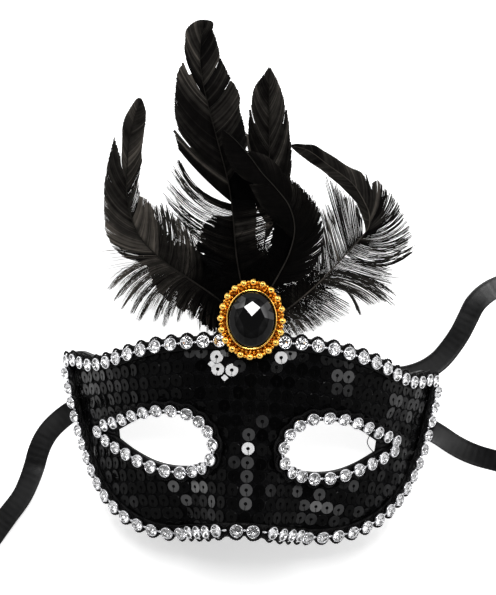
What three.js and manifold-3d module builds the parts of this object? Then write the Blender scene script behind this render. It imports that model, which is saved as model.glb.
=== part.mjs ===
// A half-face masquerade mask: a moulded black shell covered with sequinned cloth, edged with braid and
// rhinestone chain, with a gold brooch and a plume of feathers over the brow and a ribbon tie at each side.
// It lies on its back. Millimetres: +X to the viewer's right, +Y from the cheeks up to the feathers, +Z out
// of the face. Shapes are drawn about the bridge of the nose, at eye level, with the table at Z = 0.
import * as THREE from "three";
import { mergeVertices } from "three/addons/utils/BufferGeometryUtils.js";
import Module from "manifold-3d";

const wasm = await Module();
wasm.setup();

// The moulded face: height of its centre line over the table, how far out either side would meet the table,
// how far the nose stands out and how wide it is, each as stations [y, value] up the face.
const ARCH = [[-48, 33], [-24, 44], [0, 50], [20, 57], [36, 60], [52, 57.5]];
const REACH_LEFT = [[-48, 74.8], [-24, 75.2], [-8, 76.6], [8, 80], [24, 84.8], [36, 88], [52, 90.5]];
const REACH_RIGHT = [[-48, 79], [-24, 79.3], [-8, 80.6], [8, 83.2], [24, 86.5], [36, 88.5], [52, 91]];
const NOSE_HEIGHT = [[-48, 22], [-38, 21], [-20, 14], [0, 10], [18, 2.5], [28, 0], [52, 0]];
const NOSE_FOOT = [[-48, 29], [0, 24], [30, 26]];
const NOSE_RIDGE = 3.5;
const FACE_POWER = 2.8;

// The lines that the rhinestones follow: the mask's edge, from under the nose round its right side, over the
// brow and back, and the right eye, from its inner end round over its top. Each starts between two stones.
const EDGE_LINE = [
  [0.1, -35.3], [7.9, -36.1], [15.6, -38], [24, -39], [34.5, -39], [47, -37.3], [58.7, -32.2], [66.9, -24.9],
  [73.1, -15.7], [77.9, -3.9], [81, 10.1], [83.2, 24.1], [83.3, 30.5], [80.2, 31.9], [72.7, 30.8],
  [64.8, 33.3], [55.9, 37.8], [44.9, 41.5], [32.6, 44.2], [19, 45.6], [0, 45.9], [-16.5, 45], [-30.2, 43.6],
  [-42.7, 41.3], [-54.1, 37.6], [-63.6, 33.9], [-71.6, 32.4], [-79.4, 33.8], [-83.1, 32.6], [-82, 25.4],
  [-78.5, 10.9], [-74, -3.8], [-68.5, -16.8], [-61.2, -28.2], [-51.2, -36.1], [-39.2, -40], [-27.6, -40.2],
  [-15.7, -38.5], [-7.8, -36.1],
];
const EYE_LINE = [
  [12.5, -2.6], [14.3, 4.8], [19.6, 10.9], [26.3, 14.6], [33, 15.5], [41.8, 14.5], [49.9, 11.6], [58.2, 7.5],
  [64, 4.6], [65.5, 1.8], [61.8, -1.7], [52, -6.9], [41.3, -11.3], [31.8, -12.7], [22.8, -11.9], [15.4, -9],
];
const STONE_PITCH = 7;
const STONE_WIDTH = 5.8;

// Room inside a corner of those lines: a share of its radius, growing with the distance from it.
const CORNER_SHARE = 0.7;
const CORNER_WIDENING = 0.35;

// Layers, as heights over the moulded face, and how far each reaches either side of the stones' line.
const SHELL = { low: -2, high: 0, outside: 3.4, eye: 2.9, eyeLift: 2.4 };
const CLOTH = { low: 0.35, high: 0.9, hem: 1 };
const BRAID = { low: 1.95, high: 2.95, inside: 3.2, outside: 3.5, scallop: 1.2, opening: 2.5, chamfer: 0.8 };
const STONES = { low: 3.3, link: 0.9, high: 2.8 };
const TABLE_SLOTS = { from: 73, to: 91, height: 1.3, left: [2, 20], right: [-4, 15] };
const EYE_CUT = { low: -5, high: 95 };

const BROOCH = { x: -1, y: 56.2, z: 65.9, halfWidth: 15, halfHeight: 17.9, beads: 20, bead: 1.7 };
const RIBBON = { width: 10, thickness: 0.4, rest: 0.45 };

const GRID_ACROSS = 28;
const GRID_UP = 10;
const GRID_REACH = 1.1;
const GRID_CROWDING = 0.25;
const GRID_LOW = -50;
const GRID_HIGH = 55;
const SHELL_TOP = 90;

const MATERIALS = {
  plastic: { color: 0x141414, roughness: 0.5, metalness: 0 },
  sequins: { color: 0x0b0b0c, roughness: 0.25, metalness: 0 },
  braid: { color: 0x0d0d0e, roughness: 0.8, metalness: 0 },
  rhinestone: { color: 0xe8ebee, roughness: 0.08, metalness: 0.2 },
  gold: { color: 0xd8962a, roughness: 0.25, metalness: 1 },
  jet: { color: 0x050506, roughness: 0.05, metalness: 0 },
  feather: { color: 0x15120f, roughness: 0.6, metalness: 0 },
  satin: { color: 0x0c0c0d, roughness: 0.35, metalness: 0 },
};

// A smooth curve through stations [place, value], straight beyond its ends.
function through(stations) {
  const last = stations.length - 1;
  const slopes = stations.map((_, i) => {
    const before = stations[Math.max(i - 1, 0)];
    const after = stations[Math.min(i + 1, last)];
    return (after[1] - before[1]) / (after[0] - before[0]);
  });
  return (place) => {
    if (place <= stations[0][0]) return stations[0][1] + slopes[0] * (place - stations[0][0]);
    if (place >= stations[last][0]) return stations[last][1] + slopes[last] * (place - stations[last][0]);
    const i = stations.findIndex(([at]) => at > place) - 1;
    const step = stations[i + 1][0] - stations[i][0];
    const u = (place - stations[i][0]) / step;
    const rise = u * u * (3 - 2 * u);
    const bend = u * (1 - u) * step;
    return (
      stations[i][1] * (1 - rise) +
      stations[i + 1][1] * rise +
      bend * ((1 - u) * slopes[i] - u * slopes[i + 1])
    );
  };
}

const arch = through(ARCH);
const reachLeft = through(REACH_LEFT);
const reachRight = through(REACH_RIGHT);
const noseHeight = through(NOSE_HEIGHT);
const noseFoot = through(NOSE_FOOT);
const reach = (x, y) => (x < 0 ? reachLeft(y) : reachRight(y));

// Height of the moulded face over the table.
function faceHeight(x, y) {
  const side = Math.abs(x);
  const face = arch(y) * (1 - (side / reach(x, y)) ** FACE_POWER);
  const flank = THREE.MathUtils.smoothstep(side, NOSE_RIDGE, noseFoot(y));
  return face + Math.max(0, noseHeight(y)) * (1 - flank);
}

function faceNormal(x, y) {
  const step = 0.5;
  const slopeX = (faceHeight(x + step, y) - faceHeight(x - step, y)) / (2 * step);
  const slopeY = (faceHeight(x, y + step) - faceHeight(x, y - step)) / (2 * step);
  return new THREE.Vector3(-slopeX, -slopeY, 1).normalize();
}

function onFace(x, y, lift = 0) {
  return new THREE.Vector3(x, y, faceHeight(x, y)).addScaledVector(faceNormal(x, y), lift);
}

// A closed body from its corners and the faces that join them, turned so that its faces point out.
function bodyFrom(corners, faces) {
  let volume = 0;
  for (const [a, b, c] of faces) {
    volume += corners[a].dot(new THREE.Vector3().crossVectors(corners[b], corners[c]));
  }
  const index = faces.flatMap(([a, b, c]) => (volume < 0 ? [a, c, b] : [a, b, c]));
  const geometry = new THREE.BufferGeometry();
  const numbers = corners.flatMap((p) => p.toArray());
  geometry.setAttribute("position", new THREE.Float32BufferAttribute(numbers, 3));
  geometry.setIndex(index);
  return geometry;
}

// A body with the same number of corners at each station: a loop of stations, or a run with flat ends.
function loft(sections, closed) {
  const sides = sections[0].length;
  const corners = sections.flat();
  const faces = [];
  const joints = closed ? sections.length : sections.length - 1;
  for (let i = 0; i < joints; i++) {
    const here = i * sides;
    const next = ((i + 1) % sections.length) * sides;
    for (let k = 0; k < sides; k++) {
      const turn = (k + 1) % sides;
      faces.push([here + k, here + turn, next + turn], [here + k, next + turn, next + k]);
    }
  }
  if (!closed) {
    const end = (sections.length - 1) * sides;
    for (let k = 1; k < sides - 1; k++) faces.push([0, k + 1, k], [end, end + k, end + k + 1]);
  }
  return bodyFrom(corners, faces);
}

// Solids for cutting and joining.
function solidOf(geometry) {
  const bare = new THREE.BufferGeometry();
  bare.setAttribute("position", geometry.getAttribute("position").clone());
  if (geometry.index) bare.setIndex(geometry.index.clone());
  const merged = mergeVertices(bare, 1e-4);
  const vertProperties = merged.getAttribute("position").array;
  const triVerts = new Uint32Array(merged.index.array);
  return new wasm.Manifold(new wasm.Mesh({ numProp: 3, vertProperties, triVerts }));
}

function geometryOf(solid) {
  const mesh = solid.getMesh();
  const geometry = new THREE.BufferGeometry();
  geometry.setAttribute("position", new THREE.Float32BufferAttribute(mesh.vertProperties, 3));
  geometry.setIndex([...mesh.triVerts]);
  return geometry;
}

// Evenly spaced stations along a closed line drawn on the face, each with its place on the face, the way out
// of the loop, the way out of the face, and how far into the loop things beside it may reach. A corner gives
// its stations and their neighbours less room there.
function stationsAlong(outline, perStone) {
  const plan = new THREE.CatmullRomCurve3(
    outline.map(([x, y]) => new THREE.Vector3(x, y, 0)),
    true,
    "centripetal",
  );
  const raised = plan.getPoints(outline.length * 24).map((p) => onFace(p.x, p.y));
  raised.pop();
  const line = new THREE.CatmullRomCurve3(raised, true, "centripetal");
  line.arcLengthDivisions = raised.length * 6;
  const stones = Math.round(line.getLength() / STONE_PITCH);
  const count = stones * perStone;
  const area = THREE.ShapeUtils.area(outline.map(([x, y]) => new THREE.Vector2(x, y)));
  const places = Array.from({ length: count }, (_, i) => line.getPointAt(i / count));
  const stations = places.map((place, i) => {
    const before = places[(i + count - 1) % count];
    const after = places[(i + 1) % count];
    const along = after.clone().sub(before).normalize();
    const up = faceNormal(place.x, place.y);
    const out = along.clone().cross(up).normalize().multiplyScalar(Math.sign(area));
    const turn = after.clone().sub(place).normalize().sub(place.clone().sub(before).normalize());
    const radius = place.distanceTo(after) / Math.max(turn.length(), 1e-6);
    return { place, up, out, free: turn.dot(out) < 0 ? CORNER_SHARE * radius : Infinity };
  });
  for (const station of stations) {
    const rooms = stations.map((other) => {
      return other.free + CORNER_WIDENING * other.place.distanceTo(station.place);
    });
    station.inwardLimit = Math.min(...rooms);
  }
  return stations;
}

// A point beside a station: negative across is into the loop, where a tight corner limits it.
function beside(station, across, lift) {
  const held = Math.max(across, -station.inwardLimit);
  return station.place.clone().addScaledVector(station.out, held).addScaledVector(station.up, lift);
}

const eyeOutlines = { left: EYE_LINE.map(([x, y]) => [-x, y]), right: EYE_LINE };

// An upright block with the plan of a line set off from the stones.
function uprightBlock(outline, perStone, across, lift, low, high) {
  const corners = stationsAlong(outline, perStone).map((station) => beside(station, across, lift));
  const plan = new THREE.Shape(corners.map((p) => new THREE.Vector2(p.x, p.y)));
  const block = new THREE.ExtrudeGeometry(plan, { depth: high - low, bevelEnabled: false });
  return solidOf(block.translate(0, 0, low));
}

// A sheet that follows the face between two heights over it, its columns closer where the face is steep.
function faceSheet(low, high) {
  const corners = [];
  for (const lift of [low, high]) {
    for (let j = 0; j <= GRID_UP; j++) {
      const y = THREE.MathUtils.lerp(GRID_LOW, GRID_HIGH, j / GRID_UP);
      for (let i = 0; i <= GRID_ACROSS; i++) {
        const s = GRID_REACH * ((2 * i) / GRID_ACROSS - 1);
        corners.push(onFace(s * (1 + GRID_CROWDING * (1 - s * s)) * reach(s, y), y, lift));
      }
    }
  }
  const row = GRID_ACROSS + 1;
  const layer = row * (GRID_UP + 1);
  const faces = [];
  for (let j = 0; j < GRID_UP; j++) {
    for (let i = 0; i < GRID_ACROSS; i++) {
      const a = j * row + i;
      const c = a + row + 1;
      faces.push([a, a + 1, c], [a, c, a + row], [layer + a, layer + c, layer + a + 1]);
      faces.push([layer + a, layer + a + row, layer + c]);
    }
  }
  const rim = [];
  for (let i = 0; i < GRID_ACROSS; i++) rim.push(i);
  for (let j = 0; j < GRID_UP; j++) rim.push(j * row + GRID_ACROSS);
  for (let i = GRID_ACROSS; i > 0; i--) rim.push(GRID_UP * row + i);
  for (let j = GRID_UP; j > 0; j--) rim.push(j * row);
  rim.forEach((a, k) => {
    const b = rim[(k + 1) % rim.length];
    faces.push([a, layer + b, b], [a, layer + a, layer + b]);
  });
  return solidOf(bodyFrom(corners, faces));
}

// The part of such a sheet inside the mask's edge and outside its eyes, from a height over the table up.
function maskLayer(layer, hem) {
  let solid = faceSheet(layer.low, layer.high);
  solid = solid.intersect(uprightBlock(EDGE_LINE, 1, SHELL.outside, 0, hem, SHELL_TOP));
  for (const outline of Object.values(eyeOutlines)) {
    solid = solid.subtract(uprightBlock(outline, 2, -SHELL.eye, SHELL.eyeLift, EYE_CUT.low, EYE_CUT.high));
  }
  return solid;
}

// The shell rests on its side edges, which are let in where the ribbons pass under them.
function maskShell() {
  let solid = maskLayer(SHELL, 0);
  const { from, to, height, left, right } = TABLE_SLOTS;
  for (const [side, [low, high]] of [[-1, left], [1, right]]) {
    const slot = new THREE.BoxGeometry(to - from, high - low, 2 * height);
    slot.translate((side * (from + to)) / 2, (low + high) / 2, 0);
    solid = solid.subtract(solidOf(slot));
  }
  return geometryOf(solid);
}

function sequinCloth() {
  return geometryOf(maskLayer(CLOTH, CLOTH.hem));
}

// Gimp braid: a flat band under the stones with one scallop beside each of them.
function braid(outline, inside) {
  const sections = stationsAlong(outline, 2).map((station, i) => {
    const outside = BRAID.outside + (i % 2 ? BRAID.scallop : 0);
    return [
      beside(station, -inside, BRAID.low),
      beside(station, outside, BRAID.low),
      beside(station, outside - BRAID.chamfer, BRAID.high),
      beside(station, BRAID.chamfer - inside, BRAID.high),
    ];
  });
  return loft(sections, true);
}

// Rhinestone chain: cut stones in line, each joined to the next by a narrow link.
function rhinestoneChain(outline) {
  const perStone = 20;
  const parts = [
    { at: 0.1, half: 0.5, high: STONES.link },
    { at: 0.3, half: STONE_WIDTH / 2, high: STONES.high },
    { at: 0.7, half: STONE_WIDTH / 2, high: STONES.high },
    { at: 0.9, half: 0.5, high: STONES.link },
  ];
  const stations = stationsAlong(outline, perStone);
  const sections = [];
  for (let stone = 0; stone < stations.length / perStone; stone++) {
    for (const { at, half, high } of parts) {
      const station = stations[Math.round((stone + at) * perStone)];
      sections.push([
        beside(station, -half, STONES.low),
        beside(station, half, STONES.low),
        beside(station, 0.6 * half, STONES.low + high),
        beside(station, -0.6 * half, STONES.low + high),
      ]);
    }
  }
  return loft(sections, true);
}

// A point of the brooch: angle round it, distance out as a share of its size, and height over its back.
function broochPoint(angle, share, height, inset = 0) {
  return new THREE.Vector3(
    BROOCH.x + Math.cos(angle) * (BROOCH.halfWidth * share - inset),
    BROOCH.y + Math.sin(angle) * (BROOCH.halfHeight * share - inset),
    BROOCH.z + height,
  );
}

// The gold setting: an oval plate with a raised bezel for the stone, ringed with beads.
function broochSetting() {
  const { x, y, z, halfWidth, halfHeight, beads, bead } = BROOCH;
  const profile = [
    [0, 0], [0.9, 0], [0.84, 2.6], [0.76, 2.2], [0.73, 3.8], [0.69, 3.8], [0.69, 1.8], [0, 1.8],
  ];
  const plate = new THREE.LatheGeometry(profile.map(([share, up]) => new THREE.Vector2(share, up)), beads);
  plate.rotateX(Math.PI / 2);
  plate.scale(halfWidth, halfHeight, 1);
  plate.translate(x, y, z);
  const steps = beads * 2;
  const sides = 5;
  const ring = Array.from({ length: steps }, (_, i) => {
    const angle = (2 * Math.PI * i) / steps;
    const radius = bead * (i % 2 ? 0.45 : 1);
    return Array.from({ length: sides }, (_, k) => {
      const turn = (2 * Math.PI * k) / sides;
      return broochPoint(angle, 1, bead + radius * Math.sin(turn), bead - radius * Math.cos(turn));
    });
  });
  return geometryOf(solidOf(plate).add(solidOf(loft(ring, true))));
}

// The oval stone: a girdle under rows of flat facets that step in to a small table.
function broochStone() {
  const rows = [[0.645, 2.1], [0.66, 3.4], [0.58, 5], [0.42, 6.4], [0.2, 7.3]];
  const sides = 14;
  const rings = rows.map(([share, height], row) =>
    Array.from({ length: sides }, (_, k) => {
      const angle = (2 * Math.PI * (k + (row % 2) / 2)) / sides;
      return broochPoint(angle, share, height);
    }),
  );
  return loft(rings, false);
}

// A feather: a quill from the brooch with a vane either side, drawn from its foot to its tip. Vane widths
// are stations [share of length, left, right], left and right as one looks along it.
const FEATHERS = {
  feather_left: {
    spine: [
      [-8, 57.5, 58.7], [-16, 64.3, 58.4], [-27.7, 71.7, 57.5], [-37.2, 77.3, 56], [-44.9, 83.1, 54.5],
      [-52.6, 91.1, 53], [-56.5, 100, 52], [-58.7, 110, 52], [-58.9, 123, 53], [-58.4, 132, 54.5],
      [-55.9, 144, 57], [-54, 150.8, 59],
    ],
    vane: [
      [0, 0.8, 0.8], [0.12, 10, 6], [0.25, 23, 10], [0.35, 26, 13], [0.45, 22, 16], [0.55, 14, 12.5],
      [0.63, 9.5, 7], [0.75, 7, 6.2], [0.85, 6.2, 5.8], [0.94, 4, 4.4], [1, 0.5, 0.5],
    ],
  },
  feather_right: {
    spine: [
      [6, 56, 60.3], [14.6, 61.5, 60.1], [27.5, 73.3, 59.4], [38.2, 85.5, 58.5], [45.2, 94, 58.5],
      [48.4, 99, 58.8], [48.2, 105, 59.4], [45.8, 109.8, 60.2], [40.7, 116.9, 61.5], [29, 125, 63.5],
      [20, 130.6, 66], [12.2, 132.1, 69],
    ],
    vane: [
      [0, 0.8, 0.8], [0.115, 6, 9], [0.25, 8, 17], [0.36, 10, 23], [0.48, 13, 24], [0.56, 14, 20],
      [0.62, 10, 14], [0.69, 6, 9], [0.77, 4.5, 6], [0.86, 3.5, 4], [0.94, 2.5, 2.5], [1, 0.4, 0.4],
    ],
  },
  feather_narrow: {
    spine: [
      [1, 57, 61.9], [2.2, 74, 61.9], [3.2, 91, 62.4], [4.2, 108, 63.5], [3.6, 124, 65], [2.7, 143, 67],
      [2.1, 154, 68.2], [1.8, 166.6, 69.4],
    ],
    vane: [
      [0, 0.8, 0.8], [0.15, 7, 7], [0.35, 9, 9], [0.55, 8.5, 9.7], [0.73, 8.5, 9], [0.85, 7.8, 7],
      [0.94, 4, 3.5], [1, 0.4, 0.4],
    ],
  },
  feather_tall: {
    spine: [
      [-3.5, 57, 63.4], [-5, 66, 63.5], [-8.8, 83.2, 64.8], [-11, 99.6, 67], [-13.4, 113.3, 69],
      [-19.2, 132.4, 71.5], [-23.5, 146, 72.5], [-27.7, 162.3, 72], [-28.3, 176, 69.5], [-26.1, 183.5, 67],
    ],
    vane: [
      [0, 0.8, 0.8], [0.14, 9, 8], [0.25, 18, 9], [0.36, 26, 9], [0.44, 26, 9.5], [0.52, 20, 10],
      [0.63, 16.5, 13], [0.73, 14, 14], [0.82, 11.5, 12.5], [0.88, 7, 8.5], [0.95, 6.5, 6.3], [1, 2, 2],
    ],
  },
  feather_hooked: {
    spine: [
      [2, 58, 64.9], [4.6, 66, 64.9], [9.8, 76, 66.2], [14.2, 86.3, 70], [15.6, 96.6, 74.6],
      [12.7, 105.5, 78.5], [6.4, 112.9, 81], [0.6, 118.6, 82.6], [-4.9, 125.2, 83.8], [-11.2, 131.8, 84],
      [-17.4, 136.7, 83.4],
    ],
    vane: [
      [0, 0.8, 0.8], [0.14, 6, 7], [0.3, 9, 12], [0.45, 9, 12], [0.55, 8, 11], [0.65, 6, 9],
      [0.75, 5, 6.5], [0.86, 3, 3.4], [0.93, 2, 2], [1, 0.4, 0.4],
    ],
  },
};
const QUILL = { foot: 0.7, tip: 0.35 };

function feather({ spine, vane }) {
  const steps = 18;
  const line = new THREE.CatmullRomCurve3(spine.map((p) => new THREE.Vector3(...p)), false, "centripetal");
  const turns = spreadTurns(line, steps);
  const sections = Array.from({ length: steps + 1 }, (_, i) => {
    const share = i / steps;
    const place = line.getPointAt(share);
    const along = line.getTangentAt(share);
    const side = new THREE.Vector3(along.y, -along.x, 0).normalize();
    const up = side.clone().cross(along).normalize();
    const half = THREE.MathUtils.lerp(QUILL.foot, QUILL.tip, share);
    const [left, right] = vaneWidths(vane, share);
    return [
      place.clone().addScaledVector(side, -Math.min(left, turns[i].left)),
      place.clone().addScaledVector(up, half),
      place.clone().addScaledVector(side, Math.min(right, turns[i].right)),
      place.clone().addScaledVector(up, -half),
    ];
  });
  return loft(sections, false);
}

// A vane's widths on the left and right at a share of its length, straight between its stations.
function vaneWidths(vane, share) {
  const next = vane.findIndex(([at], i) => i > 0 && at >= share);
  const [before, after] = [vane[next - 1], vane[next]];
  return [1, 2].map((k) => THREE.MathUtils.mapLinear(share, before[0], after[0], before[k], after[k]));
}

// How far each side of a bending line is free before its sections would cross.
function spreadTurns(line, steps) {
  return Array.from({ length: steps + 1 }, (_, i) => {
    const before = line.getTangentAt(Math.max(i - 0.5, 0) / steps);
    const after = line.getTangentAt(Math.min(i + 0.5, steps) / steps);
    const turn = before.x * after.y - before.y * after.x;
    const free = (0.85 * line.getLength()) / steps / Math.max(Math.abs(turn), 1e-6);
    return { left: turn > 0 ? free : Infinity, right: turn < 0 ? free : Infinity };
  });
}

// The ribbons' routes: from where they are glued inside the temples, under the shell's edge and along the
// table. The left one ends in one loose turn; the right one makes a wide turn and comes back to the temple.
const RIBBON_LEFT = [
  [-68, 16.4, 13.4], [-69.6, 16, 9], [-71.2, 15.4, 5], [-72.8, 14.6, 1.9], [-75.2, 13.4, 0.65],
  [-78.6, 11.5, RIBBON.rest], [-82.2, 9.2, RIBBON.rest], [-86.2, 6.3, RIBBON.rest],
  [-90.2, 2.7, RIBBON.rest], [-94, -1.7, RIBBON.rest], [-96.9, -6.9, RIBBON.rest],
  [-98.8, -12.4, RIBBON.rest], [-100.2, -18.4, RIBBON.rest], [-102.2, -25.2, RIBBON.rest],
  [-105.4, -33, RIBBON.rest], [-112.2, -43.2, RIBBON.rest], [-119.5, -54.5, RIBBON.rest],
];
const LEFT_TURN = { x: -170, y: -40, start: -28, sweep: 335, from: 51, to: 39, steps: 26 };
const RIBBON_RIGHT = [
  [70.6, 11.6, 13.4], [72.4, 11.4, 9], [74, 11.1, 5], [75.6, 10.6, 1.9], [78, 10, 0.65],
  [82, 8.8, RIBBON.rest], [86, 7.1, RIBBON.rest], [91.2, 4.3, RIBBON.rest], [96.4, 1.1, RIBBON.rest],
  [102.7, -2, RIBBON.rest], [109, -4.2, RIBBON.rest], [118, -6.2, RIBBON.rest],
  [130, -8.6, RIBBON.rest], [143.5, -9.8, RIBBON.rest], [157, -8.6, RIBBON.rest],
  [169.8, -4.4, RIBBON.rest], [180.8, 2.8, RIBBON.rest], [189.4, 13, RIBBON.rest],
  [194.6, 25.4, RIBBON.rest], [195.6, 38.8, RIBBON.rest], [192.2, 51.8, RIBBON.rest],
  [184.8, 63.4, RIBBON.rest], [174.2, 72.8, RIBBON.rest], [161.4, 79.2, RIBBON.rest],
  [147.8, 82, RIBBON.rest], [134.2, 81.8, RIBBON.rest], [121.4, 78.6, RIBBON.rest],
  [111, 74, RIBBON.rest], [104.6, 67.8, RIBBON.rest], [101.2, 60.6, RIBBON.rest],
  [98, 53.6, RIBBON.rest], [93.8, 46.6, RIBBON.rest], [88.8, 40.2, RIBBON.rest],
  [82.8, 35.6, RIBBON.rest], [76, 32.6, RIBBON.rest], [69.4, 31, RIBBON.rest],
];

function leftTurn() {
  const { x, y, start, sweep, from, to, steps } = LEFT_TURN;
  return Array.from({ length: steps + 1 }, (_, i) => {
    const angle = THREE.MathUtils.degToRad(start - (sweep * i) / steps);
    const radius = THREE.MathUtils.lerp(from, to, i / steps);
    return [x + radius * Math.cos(angle), y + radius * Math.sin(angle), RIBBON.rest];
  });
}

function ribbon(route) {
  const line = new THREE.CatmullRomCurve3(route.map((p) => new THREE.Vector3(...p)), false, "centripetal");
  line.arcLengthDivisions = 1200;
  const steps = Math.round(line.getLength() / (0.9 * RIBBON.width));
  const sections = Array.from({ length: steps + 1 }, (_, i) => {
    const place = line.getPointAt(i / steps);
    const along = line.getTangentAt(i / steps);
    const side = new THREE.Vector3(along.y, -along.x, 0).setLength(RIBBON.width / 2);
    const up = side.clone().cross(along).setLength(RIBBON.thickness / 2);
    return [[-1, -1], [1, -1], [1, 1], [-1, 1]].map(([across, lift]) =>
      place.clone().addScaledVector(side, across).addScaledVector(up, lift),
    );
  });
  return loft(sections, false);
}

const materials = Object.fromEntries(
  Object.entries(MATERIALS).map(([name, looks]) => [name, new THREE.MeshStandardMaterial(looks)]),
);

function piece(name, geometry, material) {
  const mesh = new THREE.Mesh(geometry, materials[material]);
  mesh.name = name;
  return mesh;
}

const mask = new THREE.Group();
mask.add(piece("mask_shell", maskShell(), "plastic"));
mask.add(piece("sequin_cloth", sequinCloth(), "sequins"));
mask.add(piece("edge_braid", braid(EDGE_LINE, BRAID.inside), "braid"));
mask.add(piece("edge_rhinestones", rhinestoneChain(EDGE_LINE), "rhinestone"));
for (const [side, outline] of Object.entries(eyeOutlines)) {
  mask.add(piece("eye_braid_" + side, braid(outline, BRAID.opening), "braid"));
  mask.add(piece("eye_rhinestones_" + side, rhinestoneChain(outline), "rhinestone"));
}
mask.add(piece("brooch_setting", broochSetting(), "gold"));
mask.add(piece("brooch_stone", broochStone(), "jet"));
for (const [name, shape] of Object.entries(FEATHERS)) mask.add(piece(name, feather(shape), "feather"));

// The reference point: under the middle of the mask and its plume, on the table.
const box = new THREE.Box3().setFromObject(mask);
mask.add(piece("ribbon_left", ribbon([...RIBBON_LEFT, ...leftTurn()]), "satin"));
mask.add(piece("ribbon_right", ribbon(RIBBON_RIGHT), "satin"));
mask.position.set(0, -(box.min.y + box.max.y) / 2, 0);

const part = new THREE.Group();
part.add(mask);
export default part;
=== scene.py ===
"""The finish of a sequinned masquerade mask: sequins, cut stones, braid, brooch, feathers and ribbons.

Shapes are drawn as the CAD model's are, in millimetres about the bridge of the nose at eye level, with the
table at height 0, and moved to the row frame in metres when a mesh is made.
"""
import math

import bpy
import numpy as np
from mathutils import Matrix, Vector, geometry


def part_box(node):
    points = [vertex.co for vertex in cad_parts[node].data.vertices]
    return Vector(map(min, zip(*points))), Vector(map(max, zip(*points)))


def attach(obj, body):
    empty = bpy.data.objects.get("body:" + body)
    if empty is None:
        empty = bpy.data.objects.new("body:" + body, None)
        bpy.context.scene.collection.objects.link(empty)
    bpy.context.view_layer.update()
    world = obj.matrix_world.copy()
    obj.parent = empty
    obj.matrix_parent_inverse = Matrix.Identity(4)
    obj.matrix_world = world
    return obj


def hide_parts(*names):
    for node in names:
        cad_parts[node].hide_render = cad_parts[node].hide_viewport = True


MM = 0.001
SEED = 20

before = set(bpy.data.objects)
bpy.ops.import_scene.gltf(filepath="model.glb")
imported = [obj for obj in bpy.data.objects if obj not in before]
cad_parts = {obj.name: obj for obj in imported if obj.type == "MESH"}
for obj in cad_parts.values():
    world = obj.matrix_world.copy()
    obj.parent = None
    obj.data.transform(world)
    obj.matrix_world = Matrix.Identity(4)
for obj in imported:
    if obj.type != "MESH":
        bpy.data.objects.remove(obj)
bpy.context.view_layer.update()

# The moulded face: height of its centre line over the table, how far out either side would meet the table,
# how far the nose stands out and how wide it is, each as stations (y, value) up the face.
ARCH = [(-48, 33), (-24, 44), (0, 50), (20, 57), (36, 60), (52, 57.5)]
REACH_LEFT = [(-48, 74.8), (-24, 75.2), (-8, 76.6), (8, 80), (24, 84.8), (36, 88), (52, 90.5)]
REACH_RIGHT = [(-48, 79), (-24, 79.3), (-8, 80.6), (8, 83.2), (24, 86.5), (36, 88.5), (52, 91)]
NOSE_HEIGHT = [(-48, 22), (-38, 21), (-20, 14), (0, 10), (18, 2.5), (28, 0), (52, 0)]
NOSE_FOOT = [(-48, 29), (0, 24), (30, 26)]
NOSE_RIDGE = 3.5
FACE_POWER = 2.8

# The lines that the rhinestones follow: the mask's edge, from under the nose round its right side, over the
# brow and back, and the right eye, from its inner end round over its top. Each starts between two stones.
EDGE_LINE = [
    (0.1, -35.3), (7.9, -36.1), (15.6, -38), (24, -39), (34.5, -39), (47, -37.3), (58.7, -32.2),
    (66.9, -24.9), (73.1, -15.7), (77.9, -3.9), (81, 10.1), (83.2, 24.1), (83.3, 30.5), (80.2, 31.9),
    (72.7, 30.8), (64.8, 33.3), (55.9, 37.8), (44.9, 41.5), (32.6, 44.2), (19, 45.6), (0, 45.9),
    (-16.5, 45), (-30.2, 43.6), (-42.7, 41.3), (-54.1, 37.6), (-63.6, 33.9), (-71.6, 32.4), (-79.4, 33.8),
    (-83.1, 32.6), (-82, 25.4), (-78.5, 10.9), (-74, -3.8), (-68.5, -16.8), (-61.2, -28.2), (-51.2, -36.1),
    (-39.2, -40), (-27.6, -40.2), (-15.7, -38.5), (-7.8, -36.1),
]
EYE_LINE = [
    (12.5, -2.6), (14.3, 4.8), (19.6, 10.9), (26.3, 14.6), (33, 15.5), (41.8, 14.5), (49.9, 11.6),
    (58.2, 7.5), (64, 4.6), (65.5, 1.8), (61.8, -1.7), (52, -6.9), (41.3, -11.3), (31.8, -12.7),
    (22.8, -11.9), (15.4, -9),
]
STONE_PITCH = 7
STATIONS_PER_STONE = 20
# Inside a bend a band reaches this share of its radius, and so much more for each millimetre away from it.
CORNER_SHARE = 0.7
CORNER_WIDENING = 0.35
UNLIMITED = 1e6

# Heights over the moulded face, and how far each layer reaches from the stones' line.
SHELL = {"low": -2, "high": 0, "hem": 0.02, "outside": 3.4, "eye": 1.9, "eye_lift": 2.4}
CLOTH = {"low": 0.35, "high": 0.9, "hem": 1}
BRAID = {"low": 1.95, "high": 2.7, "outside": 3.5, "inside": 3.1, "opening": 2, "scallop": 1.2}
STONE_BASE = 3.3
TABLE_SLOTS = {"from": 73, "height": 1.35, "left": (1, 21), "right": (-5, 16)}

BROOCH = {"x": -1, "y": 56.2, "z": 65.9, "half_width": 15, "half_height": 17.9, "beads": 20, "bead": 1.7}
RIBBON = {"width": 10, "thickness": 0.35, "rest": 0.45, "step": 1.2, "path_points": 240}

SHIFT_Y = sum(corner.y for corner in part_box("brooch_stone")) / 2 / MM - BROOCH["y"]


def placed(points):
    """Points drawn about the bridge of the nose, in millimetres, as metres in the row frame."""
    return (np.asarray(points, float) + (0, SHIFT_Y, 0)) * MM


# Camera: straight over the mask as it lies, a little turned.
CAMERA_PLACE = placed((-3, 65.6, 800))
CAMERA_ROLL = math.radians(2.6)
CAMERA_LENS = 122.8
CAMERA_SENSOR = 36


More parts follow.
